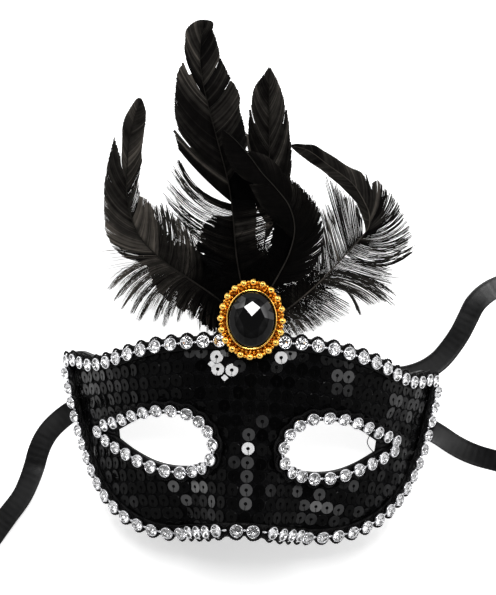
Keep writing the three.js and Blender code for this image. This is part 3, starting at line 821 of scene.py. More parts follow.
def add_floor():
    """A white light table, its glow weaker on the near side: a painted shadow under the mask's lower edge.
    """
    material, shader = new_material("white_floor", FLOOR_COLOUR, Roughness=0.9)
    shader.inputs["Specular IOR Level"].default_value = 0.0
    shader.inputs["Emission Color"].default_value = (1, 1, 1, 1)
    place = add_node(material, "ShaderNodeTexCoord")
    split = add_node(material, "ShaderNodeSeparateXYZ")
    glow = material.node_tree.nodes.new("ShaderNodeMapRange")
    glow.interpolation_type = "SMOOTHSTEP"
    glow.inputs["From Min"].default_value = placed((0, FLOOR_GLOW["near"], 0))[1]
    glow.inputs["From Max"].default_value = placed((0, FLOOR_GLOW["far"], 0))[1]
    glow.inputs["To Min"].default_value = FLOOR_GLOW["painted_shadow_glow"]
    glow.inputs["To Max"].default_value = FLOOR_GLOW["far_glow"]
    link(material, place.outputs["Object"], split.inputs["Vector"])
    link(material, split.outputs["Y"], glow.inputs["Value"])
    link(material, glow.outputs["Result"], shader.inputs["Emission Strength"])
    mesh = bpy.data.meshes.new("floor")
    corners = [(x * FLOOR_HALF, y * FLOOR_HALF, 0) for x, y in ((-1, -1), (1, -1), (1, 1), (-1, 1))]
    mesh.from_pydata(corners, [], [(0, 1, 2, 3)])
    mesh.materials.append(material)
    floor = bpy.data.objects.new("floor", mesh)
    bpy.context.scene.collection.objects.link(floor)


add_lights()
add_floor()


# Sequins

SEQUIN = {"radius": 2.85, "hole": 0.78, "thickness": 0.16, "pitch": 5.5, "row": 6.05, "lift": 1.3}
SEQUIN_SIDES = 20
SEQUIN_BEVEL = 0.12
# Rows: where one lies on the plan, how many lie below it, where they stop, and how fast they dip sideways.
ROWS = {"one": -0.4, "below": 9, "top": 75, "side": 95, "step": 0.1, "drop": 0.0018}
# How far sequins stray: along their row past its middle part, and any way off the middle line.
STRAY = {"along": 0.22, "beyond": 8, "any_way": 0.16, "off_middle": 4}
# How far they tilt at random and lean to the left, and how much steadier they are near the middle line.
TILT = {"random": math.radians(4.5), "left": 0.05, "middle": 2, "steadier": 0.75}
SEQUIN_MARGIN = 1.2
GLINT_LIFT = 0.35
# The highest random tone of plain sequins, and how uneven the painted reflection of a patch is.
DARK_SHADE = 0.3
PATCH_UNEVEN = (0.75, 1.1)
# To find where a pixel's line of sight meets the sequins: a first height, and how often it is corrected.
FIRST_HEIGHT = 40
HEIGHT_ROUNDS = 12


def seen(pixel_x, pixel_y):
    """The place in plan of the sequin that a pixel of the photo shows."""
    height = FIRST_HEIGHT
    for _ in range(HEIGHT_ROUNDS):
        x, y = in_plan((pixel_x, pixel_y), height)
        height = float(face_height(x, y)) + SEQUIN["lift"]
    return round(x, 1), round(y, 1)


# Sequins that throw the light back: white glints and loose spangles, turned to the key light and also
# painted pale as a painted highlight, then single grey ones as (x, y, shade) and patches of grey ones as (x,
# y, half width, half height, shade), whose grey is a painted reflection.
GLINTS = [(-15.4, 39), (-14.7, 33.8), (-8.6, 33.7), (12.6, 39.8), (0, -0.4)]
SPANGLES = [(-17.4, 35.9), (-11.5, 30.5)]
PAINTED_SHEEN_SEQUINS = [
    (0, 5.6, 0.62), (0, -6.4, 0.66), (0, -12.5, 0.64), (0, -18.5, 0.7), (0, -24.6, 0.76),
    (*seen(193, 358), 0.58), (*seen(205, 357), 0.58), (*seen(243, 371), 0.52), (*seen(294, 361), 0.9),
    (*seen(342, 368), 0.5), (*seen(330, 378), 0.76), (*seen(340, 381), 0.72), (*seen(348, 382), 0.74),
    (*seen(332, 392), 0.52), (*seen(341, 393), 0.52), (*seen(172, 488), 0.8), (*seen(182, 501), 0.78),
    (*seen(190, 500), 0.72), (*seen(193, 484), 0.95), (*seen(207, 486), 0.85), (*seen(212, 496), 0.75),
    (*seen(272, 487), 0.52), (*seen(293, 491), 0.66), (*seen(319, 494), 0.68), (*seen(303, 506), 0.66),
    (*seen(314, 505), 0.9), (34.5, -27, 0.8), (*seen(343, 504), 0.62), (*seen(352, 489), 0.62),
    (*seen(358, 505), 0.54),
]
PAINTED_SHEEN_PATCHES = [
    (*seen(98, 378), 8, 2.5, 0.66), (-60, 27, 4, 2.5, 0.58), (*seen(100, 393), 8, 2.6, 0.64),
    (-56, 23.7, 5, 2.5, 0.54), (-48, 27, 5, 2.5, 0.46), (*seen(97, 408), 4, 3, 0.55),
    (*seen(96, 438), 3, 5, 0.52), (-65.5, -14, 5, 6, 0.56), (*seen(112, 485), 4, 4, 0.5),
    (*seen(130, 501), 3, 2.4, 0.54), (*seen(210, 508), 5, 4, 0.5), (*seen(228, 462), 4, 5.4, 0.48),
    (*seen(258, 420), 2.6, 2.6, 0.5), (*seen(340, 518), 5.4, 3, 0.54), (*seen(305, 518), 3.2, 3, 0.56),
    (*seen(345, 488), 3, 3, 0.52), (*seen(410, 402), 8, 5, 0.62), (*seen(393, 395), 3, 4, 0.62),
    (*seen(400, 412), 6.3, 3, 0.56), (*seen(402, 465), 3.4, 6.3, 0.56), (*seen(394, 480), 3, 4, 0.58),
    (*seen(384, 492), 4, 3, 0.5), (*seen(370, 500), 4, 4, 0.42), (*seen(275, 475), 3, 4, 0.4),
]
SPANGLE = {"width": 2.3, "lift": 2.2}


def toward_key(points):
    """The way a flat thing at each point faces to throw the key light up at the camera."""
    places = placed(points)
    to_camera = unit(CAMERA_PLACE - places)
    to_key = unit(np.array(KEY["place"]) - places)
    return unit(to_camera + to_key)


def sequin_places():
    """Places on the plan, in rows that dip towards the temples."""
    rng = np.random.default_rng(SEED)
    places = []
    for row in np.arange(ROWS["one"] - ROWS["below"] * SEQUIN["row"], ROWS["top"], SEQUIN["row"]):
        for side in (-1, 1):
            x = side * np.arange(0, ROWS["side"], ROWS["step"])
            y = row - ROWS["drop"] * x * x
            lengths = run_lengths(on_face(x, y))
            first = 0 if side == 1 else SEQUIN["pitch"]
            at = np.arange(first, lengths[-1], SEQUIN["pitch"])
            at = at + rng.normal(0, STRAY["along"], len(at)) * (at > STRAY["beyond"])
            places.append(np.stack([np.interp(at, lengths, x), np.interp(at, lengths, y)], axis=1))
    places = np.concatenate(places)
    off_middle = np.abs(places[:, :1]) > STRAY["off_middle"]
    places = places + rng.normal(0, STRAY["any_way"], places.shape) * off_middle
    keep = within(places, plan_of(EDGE, -SEQUIN_MARGIN))
    for line in EYES.values():
        keep &= ~within(places, plan_of(line, SEQUIN_MARGIN))
    return places[keep]


# A random dark tone for each sequin, raised to grey in the listed patches and single sequins: a painted
# reflection.
def sequin_tones_and_painted_sheen(rng, places):
    tones_and_sheen = rng.uniform(0, DARK_SHADE, len(places))
    for x, y, half_width, half_height, shade in PAINTED_SHEEN_PATCHES:
        gap = np.hypot((places[:, 0] - x) / half_width, (places[:, 1] - y) / half_height)
        patch = shade * rng.uniform(*PATCH_UNEVEN, len(places))
        tones_and_sheen = np.where(gap < 1, np.maximum(tones_and_sheen, patch), tones_and_sheen)
    for x, y, shade in PAINTED_SHEEN_SEQUINS:
        tones_and_sheen[np.argmin(np.linalg.norm(places - (x, y), axis=1))] = shade
    return tones_and_sheen


def sequin_part():
    """A flat ring with a bevelled rim."""
    half = SEQUIN["thickness"] / 2
    flat = SEQUIN["radius"] - SEQUIN_BEVEL
    hole, rim = SEQUIN["hole"], SEQUIN["radius"]
    profile = [(hole, half), (flat, half), (rim, 0), (flat, -half), (hole, -half)]
    turn = np.linspace(0, 2 * math.pi, SEQUIN_SIDES, endpoint=False)
    corners = np.array([(r * math.cos(a), r * math.sin(a), z) for a in turn for r, z in profile])
    return corners, lathe_faces(SEQUIN_SIDES, len(profile), run_closed=True)


def add_sequins():
    rng = np.random.default_rng(SEED + 1)
    places = sequin_places()
    count = len(places)
    bright = np.zeros(count, bool)
    for glint in GLINTS:
        nearest = np.argmin(np.linalg.norm(places - glint, axis=1))
        places[nearest] = glint
        bright[nearest] = True
    origins = on_face(places[:, 0], places[:, 1], np.full(count, SEQUIN["lift"]))
    normals = face_normal(places[:, 0], places[:, 1])
    across = unit(np.cross(np.array([0, 1, 0]), normals))
    upward = np.cross(normals, across)
    lean = rng.normal(0, 1, (2, count, 1)) * TILT["random"]
    steady = (np.abs(places[:, :1]) < TILT["middle"]) * TILT["steadier"]
    sideways = lean[0] * (1 - steady) - TILT["left"]
    normals = unit(normals + across * sideways + upward * lean[1] * (1 - steady))
    tones_and_sheen = sequin_tones_and_painted_sheen(rng, places)
    # Glinting sequins are turned to throw the key light at the camera; their material adds a painted
    # highlight.
    normals[bright] = toward_key(origins[bright])
    origins[bright] += normals[bright] * GLINT_LIFT
    across = unit(np.cross(upward, normals))
    upward = np.cross(normals, across)
    corners, faces = sequin_part()
    pile = Pile()
    for kind, chosen in enumerate((~bright, bright)):
        directions = [across[chosen], upward[chosen], normals[chosen]]
        tones = np.repeat(tones_and_sheen[chosen], len(corners))
        discs = copies(corners, faces, origins[chosen], directions)
        pile.add(*discs, tone=tones, kind=kind, smooth=False)
    add_spangles(pile)
    pile.piece("sequins", [SEQUIN_PAINTED_SHEEN_LOOK, PAINTED_GLINT_LOOK])
    add_stitches(origins, across, upward, normals)


def box_part(width, length, height):
    square = [(-0.5, -0.5), (0.5, -0.5), (0.5, 0.5), (-0.5, 0.5)]
    corners = np.array([(x, y, z) for z in (-0.5, 0.5) for x, y in square])
    faces = [(3, 2, 1, 0), (4, 5, 6, 7), (0, 1, 5, 4), (1, 2, 6, 5), (2, 3, 7, 6), (3, 0, 4, 7)]
    return corners * (width, length, height), faces


def add_spangles(pile):
    """Two loose square spangles among the sequins, turned on their points and to the key light, and painted
    pale as a painted highlight.
    """
    places = np.array(SPANGLES, float)
    origins = on_face(places[:, 0], places[:, 1], np.full(len(places), SPANGLE["lift"]))
    normals = toward_key(origins)
    slanting = np.tile(unit(np.array([-1.0, 1.0, 0])), (len(places), 1))
    across = unit(np.cross(slanting, normals))
    corners, faces = box_part(SPANGLE["width"], SPANGLE["width"], SEQUIN["thickness"])
    squares = copies(corners, faces, origins, [across, np.cross(normals, across), normals])
    pile.add(*squares, kind=1, smooth=False)


STITCH = {"beyond_rim": 0.2, "radius": 0.1, "swing": 0.12, "points": 9}


def add_stitches(origins, across, upward, normals):
    """The stitch that holds each sequin, from its hole over its lower rim."""
    rng = np.random.default_rng(SEED + 2)
    reach = SEQUIN["radius"] + STITCH["beyond_rim"]
    route = [
        (0, 0.1, -0.3), (0, 0.0, 0.14), (0, -reach * 0.5, 0.17), (0, -reach + 0.2, 0.12), (0, -reach, -0.5)
    ]
    thread = evenly(smooth_line(route, per_span=6), STITCH["points"])
    corners, faces = tube(thread, STITCH["radius"], sides=4, up=(1, 0, 0))
    swing = rng.normal(0, STITCH["swing"], (len(origins), 1))
    turned = unit(across + upward * swing)
    pile = Pile()
    pile.add(*copies(corners, faces, origins, [turned, np.cross(normals, turned), normals]))
    pile.piece("sequin_stitches", [SEWING_LOOK])


add_sequins()


# Braid: two cords of two plies that cross between the stones, over a flat band.

CORD = {"outside": 4.1, "inside": 2.75, "ply": 0.36, "spread": 0.3, "twist": 2.1, "lift": 2.75, "rise": 0.9,
        "weave": 0.32, "step": 0.32, "clear": 0.1, "wave_power": 0.62, "tone": 0.5, "tone_step": 0.3}
# The band under the cords: its section as shares of its half width and depth, and how far it keeps inside.
BAND = [(-1, 0), (1, 0), (0.92, 0.75), (0.5, 0.95), (0, 1), (-0.5, 0.95), (-0.92, 0.75)]
BAND_INSET = {"edge": 0.6, "scallop": 0.3, "tone": 0.2}
BAND_STEPS = 10
CORD_STEPS = 60
# The lining in the outer corner of an eye: how far it reaches along the braid in stones, its heights, how
# far in its edges lie and how much more at the corner, and up to where its two sides are joined.
LINING = {"stones": 4.6, "low": 1.5, "high": 2.5, "outer": 1.4, "inner": 2.1, "more": 3.1, "joined": 1.9,
          "start": 0.02, "steps": 60, "tone": 0.3}


def rounded_wave(phase):
    wave = np.cos(phase)
    return np.sign(wave) * np.abs(wave) ** CORD["wave_power"]


def run_shares(line):
    lengths = run_lengths(line)
    return lengths / lengths[-1]


def closed_tube(rings, sides):
    """Faces of a tube of rings, with its two ends closed."""
    last = (rings - 1) * sides
    near = [(0, k + 1, k) for k in range(1, sides - 1)]
    far = [(last, last + k, last + k + 1) for k in range(1, sides - 1)]
    return np.concatenate([triangles(lathe_faces(rings, sides)), near + far])


def add_corner_lining(pile, line):
    """A lining of braid that widens towards the eye's outer corner and closes its point."""
    corner = np.argmax(np.abs(line.place[:, 0])) / STATIONS_PER_STONE
    away = np.linspace(LINING["start"], LINING["stones"], LINING["steps"])
    inner = LINING["inner"] + LINING["more"] * (1 - away / LINING["stones"])
    crown = [("outer", "low"), ("inner", "low"), ("inner", "high"), ("outer", "high")]
    across = {"outer": np.full(len(away), -LINING["outer"]), "inner": -inner}
    edges = []
    for side in (-1, 1):
        places = corner + side * away
        rings = [line.beside(places, across[edge], LINING[level]) for edge, level in crown]
        pile.add(np.stack(rings, axis=1), closed_tube(len(away), len(crown)), tone=LINING["tone"])
        edges.append(rings)
    joined = away < LINING["joined"]
    web = [ring[joined] for ring in (edges[0][1], edges[1][1], edges[1][2], edges[0][2])]
    pile.add(np.stack(web, axis=1), closed_tube(joined.sum(), len(web)), tone=LINING["tone"])


def add_band(pile, line, inside):
    """The flat band, its outer edge scalloped between the stones."""
    places = np.arange(line.stones * BAND_STEPS) / BAND_STEPS
    scallop = (BRAID["scallop"] - BAND_INSET["scallop"]) * np.abs(np.cos(math.pi * (places - 0.5)))
    outside = BRAID["outside"] - BAND_INSET["edge"] + scallop
    middle, half = (outside - inside) / 2, (outside + inside) / 2
    depth = BRAID["high"] - BRAID["low"]
    rings = [line.beside(places, middle + half * a, BRAID["low"] + depth * h) for a, h in BAND]
    faces = lathe_faces(len(places), len(BAND), run_closed=True)
    pile.add(np.stack(rings, axis=1), faces, tone=BAND_INSET["tone"])


def add_cord(pile, line, inside, side):
    """One cord of two plies. It swings out and in between the stones; side is -1 or 1 for either cord."""
    dense = np.linspace(0, line.stones, line.stones * CORD_STEPS + 1)
    wave = side * rounded_wave(math.pi * (dense - 0.5))
    inward = min(CORD["inside"], inside - CORD["clear"])
    across = np.where(wave > 0, CORD["outside"], inward) * wave
    lift = CORD["lift"] + side * CORD["weave"] * np.sin(math.pi * (dense - 0.5)) * np.sin(math.pi * dense)
    lift = lift + CORD["rise"] * np.maximum(wave, 0)
    swung = line.beside(dense, across, lift)
    count = round(run_lengths(swung)[-1] / CORD["step"])
    cord = evenly(swung, count)
    along = unit(np.gradient(cord, axis=0))
    up = line.directions(np.interp(np.linspace(0, 1, count), run_shares(swung), dense))[2]
    flat = unit(np.cross(along, up))
    rise = np.cross(flat, along)
    turn = 2 * math.pi * np.arange(count) * CORD["step"] / CORD["twist"]
    tone = CORD["tone"] + CORD["tone_step"] * side
    for ply in (0, math.pi):
        offset = flat * np.cos(turn + ply)[:, None] + rise * np.sin(turn + ply)[:, None]
        pile.add(*tube(cord + CORD["spread"] * offset, CORD["ply"], sides=4, up=up), tone=tone)


def add_braid(name, node, line, inside):
    pile = Pile()
    add_band(pile, line, inside)
    for side in (-1, 1):
        add_cord(pile, line, inside, side)
    if line is not EDGE:
        add_corner_lining(pile, line)
    pile.piece(name, [GIMP_LOOK], [node])


add_braid("gimp_braid_edge", "edge_braid", EDGE, BRAID["inside"])
for side_name, eye_line in EYES.items():
    add_braid("gimp_braid_eye_" + side_name, "eye_braid_" + side_name, eye_line, BRAID["opening"])


# Rhinestones: a foiled brilliant in a silver cup for each stone, with a link to the next.

STONE = {"girdle": 2.55, "table": 1.45, "girdle_at": 1.7, "table_at": 2.7, "culet": -0.4, "belt": 0.12}
# Where facets meet between these: the crown's middle corners, as shares of its height and mean radius, and
# the pavilion's, as shares of its height and of the girdle.
CROWN = {"height": 0.58, "radius": 1.03}
PAVILION = {"height": 0.3, "radius": 0.32}
CUP = {"radius": 2.9, "lip": 2.62, "foot": -0.55, "lip_at": 1.95}
LINK = {"half_length": 1.2, "radius": 0.42, "at": 0.75}
# The link's radius along its length, as shares: a rod with a knot in its middle.
LINK_SHARES = [0.8, 0.8, 0.9, 1.45, 0.9, 0.8, 0.8]
# On the steep sides of the face the stones sit proud and turn up a little; where their line climbs they are
# flatter.
STEEP_LIFT = 1.2
STEEP_TURN = 0.6
STEEP_FLATTER = 0.6
STONE_TILT = 0.02


def brilliant():
    """Crown and pavilion of an eightfold brilliant: corners, glass faces and foiled faces."""
    def ring(radius, height, count, offset):
        return [(radius * math.cos((k + offset) * 2 * math.pi / count),
                 radius * math.sin((k + offset) * 2 * math.pi / count), height) for k in range(count)]

    middle_at = STONE["girdle_at"] + CROWN["height"] * (STONE["table_at"] - STONE["girdle_at"])
    star_radius = (STONE["table"] + STONE["girdle"]) / 2 * CROWN["radius"]
    corners = [(0, 0, STONE["table_at"])]
    corners += ring(STONE["table"], STONE["table_at"], 8, 0)
    corners += ring(star_radius, middle_at, 8, 0.5)
    corners += ring(STONE["girdle"], STONE["girdle_at"], 16, 0)
    corners += ring(STONE["girdle"], STONE["girdle_at"] - STONE["belt"], 16, 0)
    low_at = STONE["girdle_at"] * PAVILION["height"] + STONE["culet"] * (1 - PAVILION["height"])
    corners += ring(STONE["girdle"] * PAVILION["radius"], low_at, 8, 0.5)
    corners += [(0, 0, STONE["culet"])]
    table, star, upper, lower, deep, culet = 1, 9, 17, 33, 49, 57
    glass, foil = [], []
    for k in range(8):
        n = (k + 1) % 8
        girdle, halfway, after = upper + 2 * k, upper + 2 * k + 1, upper + (2 * k + 2) % 16
        glass += [(0, table + k, table + n), (table + k, star + k, table + n)]
        glass += [(table + k, girdle, star + k), (girdle, halfway, star + k)]
        glass += [(halfway, after, star + k), (star + k, after, table + n)]
    for k in range(16):
        n = (k + 1) % 16
        glass += [(upper + k, lower + k, lower + n), (upper + k, lower + n, upper + n)]
    for k in range(8):
        before = (k + 7) % 8
        foil += [(lower + 2 * k, deep + before, deep + k), (deep + before, culet, deep + k)]
        foil += [(lower + 2 * k, deep + k, lower + 2 * k + 1)]
        foil += [(lower + 2 * k + 1, deep + k, lower + (2 * k + 2) % 16)]
    return np.array(corners), np.array(glass), np.array(foil)


def cup_part():
    """A cup with a flat foot and a lip that closes over the stone's girdle."""
    sides = 16
    profile = [(0.0, CUP["foot"]), (1.7, CUP["foot"]), (CUP["radius"] * 0.9, CUP["foot"] + 0.7),
               (CUP["radius"], CUP["foot"] + 1.5), (CUP["radius"], CUP["lip_at"] - 0.3),
               (CUP["lip"] + 0.1, CUP["lip_at"]), (CUP["lip"] - 0.12, CUP["lip_at"] - 0.06),
               (CUP["lip"] - 0.02, CUP["lip_at"] - 0.5), (0.0, CUP["foot"] + 0.1)]
    turn = np.linspace(0, 2 * math.pi, sides, endpoint=False)
    corners = [(r * math.cos(a), r * math.sin(a), z) for r, z in profile[1:-1] for a in turn]
    corners += [(0, 0, profile[0][1]), (0, 0, profile[-1][1])]
    rings = len(profile) - 2
    faces = triangles(lathe_faces(rings, sides)).tolist()
    low, high = rings * sides, rings * sides + 1
    last = (rings - 1) * sides
    for k in range(sides):
        n = (k + 1) % sides
        faces += [(n, k, low), (last + k, last + n, high)]
    return np.array(corners), np.array(faces)


def add_rhinestones(name, node, line):
    rng = np.random.default_rng(SEED + line.stones)
    places = np.arange(line.stones) + 0.5
    along, out, up = line.directions(places)
    origins = line.beside(places, np.zeros(len(places)), STONE_BASE)
    spin = rng.uniform(0, math.pi / 4, (len(places), 1))
    tilt = rng.normal(0, STONE_TILT, (2, len(places), 1))
    steep = 1 - up[:, 2:]
    origins = origins + up * steep * STEEP_LIFT
    upright = np.array([0, 0, 1]) - along * along[:, 2:]
    axis = unit(up + along * tilt[0] + out * tilt[1] + upright * steep * STEEP_TURN)
    first = unit(np.cross(axis, along * np.cos(spin) + out * np.sin(spin)))
    second = np.cross(axis, first)
    axis = axis * (1 - STEEP_FLATTER * along[:, 2:] ** 2)
    corners, glass, foil = brilliant()
    pile = Pile()
    moved, crown = copies(corners, glass, origins, [first, second, axis])
    pavilion = copies(corners, foil, origins, [first, second, axis])[1]
    pile.add(moved, crown, kind=0, smooth=False)
    pile.add_faces(pavilion, 0, kind=1, smooth=False)
    pile.add(*copies(*cup_part(), origins, [first, second, axis]), kind=2)
    rods = line.beside(np.arange(line.stones), np.zeros(line.stones), STONE_BASE + LINK["at"])
    along, out, up = line.directions(np.arange(line.stones))
    rod = [(x, 0, 0) for x in np.linspace(-LINK["half_length"], LINK["half_length"], len(LINK_SHARES))]
    part, faces = tube(rod, LINK["radius"] * np.array(LINK_SHARES), sides=8)
    pile.add(*copies(part, faces, rods, [along, out, up]), kind=2)
    pile.piece(name, [CRYSTAL_LOOK, FOIL_LOOK, SILVER_LOOK], [node])


add_rhinestones("rhinestones_edge", "edge_rhinestones", EDGE)
for side_name, eye_line in EYES.items():
    add_rhinestones("rhinestones_eye_" + side_name, "eye_rhinestones_" + side_name, eye_line)


# A stray end of thread that crosses the outer corner of the right eye.
THREAD_RADIUS = 0.2
THREAD = [(56.4, 11.6, 49.3), (55, 8.8, 48.8), (53.4, 6, 48.4), (52.9, 3.6, 47.8), (54, 1.4, 47.2),
          (56, -0.8, 46.4), (57.2, -3, 45.6), (56.6, -5.4, 45.4)]


def add_stray_thread():
    pile = Pile()
    line = evenly(smooth_line(THREAD), 60)
    pile.add(*tube(line, THREAD_RADIUS, sides=6))
    pile.piece("stray_thread", [SEWING_LOOK])


add_stray_thread()


# Brooch

# The setting's section, as (share of the half sizes, height), with the tone of each corner: a plate and a
# floor under the stone painted dark as a painted shade, and a bright bezel.
SETTING = [
    (0.02, 0, 0.2), (0.84, 0, 0.2), (0.9, 0.5, 0.2), (0.88, 1.1, 0.2), (0.8, 1.5, 0.2), (0.745, 2.0, 0.2),
    (0.735, 3.4, 0.9), (0.722, 3.75, 0.9), (0.705, 3.8, 0.9), (0.69, 3.6, 0.9), (0.685, 2.0, 0.2),
    (0.6, 1.8, 0.2), (0.02, 1.8, 0.2),
]
SETTING_SIDES = 96
BEAD_TONE = 0.85
# Small beads between the large ones; rise and inset are shares of the large bead's radius.
SMALL_BEAD = {"radius": 0.85, "rise": 0.9, "inset": 0.95, "tone": 0.6}
# Rows of grains as (number, share of the half sizes, height, radius), and how uneven they are; their low
# tones are a painted shade between the beads.
GRAIN_ROWS = [(40, 0.835, 2.1, 0.72), (44, 0.785, 2.35, 0.62)]
GRAIN_UNEVEN = {"turn": 0.012, "radius": (0.8, 1.15), "height": 0.12, "tone": (0, 0.6)}


def brooch_points(angles, share, height, inset=0.0):
    x = BROOCH["x"] + np.cos(angles) * (BROOCH["half_width"] * share - inset)
    y = BROOCH["y"] + np.sin(angles) * (BROOCH["half_height"] * share - inset)
    return np.stack([x, y, np.zeros_like(x) + BROOCH["z"] + height], axis=-1)


def add_brooch_setting():
    """A plate with a bezel, a ring of beads with smaller ones between them, and rows of grains inside."""
    rng = np.random.default_rng(SEED + 3)
    pile = Pile()
    turn = np.linspace(0, 2 * math.pi, SETTING_SIDES, endpoint=False)
    rings = np.stack([brooch_points(turn, share, height) for share, height, _ in SETTING], axis=1)
    tones = np.tile([tone for _, _, tone in SETTING], SETTING_SIDES)
    pile.add(rings, lathe_faces(SETTING_SIDES, len(SETTING), run_closed=True), tone=tones)
    bead = BROOCH["bead"]
    angles = np.arange(BROOCH["beads"]) * 2 * math.pi / BROOCH["beads"]
    half_step = math.pi / BROOCH["beads"]
    for centre in brooch_points(angles, 1, bead, inset=bead):
        pile.add(*ball(centre, bead, sides=18, rings=11), tone=BEAD_TONE)
    small = SMALL_BEAD
    for centre in brooch_points(angles + half_step, 1, bead * small["rise"], inset=bead * small["inset"]):
        pile.add(*ball(centre, small["radius"], sides=10, rings=6), tone=small["tone"])
    for count, share, height, size in GRAIN_ROWS:
        steps = np.arange(count) * 2 * math.pi / count + rng.normal(0, GRAIN_UNEVEN["turn"], count)
        for centre in brooch_points(steps, share, height):
            radius = size * rng.uniform(*GRAIN_UNEVEN["radius"])
            centre = centre + (0, 0, rng.normal(0, GRAIN_UNEVEN["height"]))
            pile.add(*ball(centre, radius, sides=8, rings=5), tone=rng.uniform(*GRAIN_UNEVEN["tone"]))
    pile.piece("gilt_setting", [GOLD_LOOK], ["brooch_setting"])


# The black stone's rings of corners from its top down to its rim, as (share of its half sizes, height).
JET_RINGS = [(0, 7.45), (0.48, 6.6), (0.735, 5.55), (0.93, 4.3), (1.0, 3.3)]
# Its half sizes as a share of the setting's, how far its top lies up the plan, how far out and down the
# points of the middle kite lie, the depth of its rim and the height of its foot.
JET = {"share": 0.683, "offset": 1.5, "kite_out": 1.14, "kite_down": 0.28, "rim": 1.4, "foot": 1.9}
JET_TONES = {"middle": 1, "outer": 0.2, "back": 0}


def jet_angle(a, b):
    """The way from the middle to a corner (a, b) of the square grid, once it is drawn out round."""
    if a == b == 0:
        return 0
    if abs(a) >= abs(b):
        return (0 if a > 0 else math.pi) + math.pi / 4 * b / a
    return (math.pi / 2 if b > 0 else -math.pi / 2) - math.pi / 4 * a / b


def add_brooch_stone():
    """A chequer-cut oval: squares of a turned grid drawn out into an oval dome."""
    size = len(JET_RINGS) - 1
    grid = {}
    corners, tones = [], []
    for a in range(-size, size + 1):
        for b in range(-size, size + 1):
            step = max(abs(a), abs(b))
            ring, height = JET_RINGS[step]
            kite = abs(a) == abs(b) and step == 1
            share = ring * JET["share"] * (JET["kite_out"] if kite else 1)
            turn = np.array(jet_angle(a, b) + math.pi / 4)
            corner = brooch_points(turn, share, height - JET["kite_down"] * kite)
            grid[(a, b)] = len(corners)
            corners.append(corner + (0, JET["offset"] * (1 - ring**2), 0))
            tones.append(JET_TONES["middle" if step < 2 else "outer"])
    faces = []
    for a in range(-size, size):
        for b in range(-size, size):
            square = [grid[(a, b)], grid[(a + 1, b)], grid[(a + 1, b + 1)], grid[(a, b + 1)]]
            if (a >= 0) == (b >= 0):
                faces += [(square[0], square[1], square[2]), (square[0], square[2], square[3])]
            else:
                faces += [(square[1], square[2], square[3]), (square[1], square[3], square[0])]
    rim = [(a, b) for a, b in grid if max(abs(a), abs(b)) == size]
    ways = {at: corners[grid[at]] - (BROOCH["x"], BROOCH["y"], 0) for at in rim}
    rim.sort(key=lambda at: math.atan2(ways[at][1], ways[at][0]))
    first = len(corners)
    foot = first + len(rim)
    corners += [corners[grid[at]] - (0, 0, JET["rim"]) for at in rim]
    corners.append(np.array([BROOCH["x"], BROOCH["y"], BROOCH["z"] + JET["foot"]]))
    for k, at in enumerate(rim):
        n = (k + 1) % len(rim)
        here, after = grid[at], grid[rim[n]]
        faces += [(here, first + k, first + n), (here, first + n, after), (first + n, first + k, foot)]
    pile = Pile()
    tones += [JET_TONES["back"]] * (len(corners) - len(tones))
    pile.add(np.array(corners), np.array(faces), tone=np.array(tones), smooth=False)
    pile.piece("jet_stone", [JET_LOOK], ["brooch_stone"])


add_brooch_setting()
add_brooch_stone()
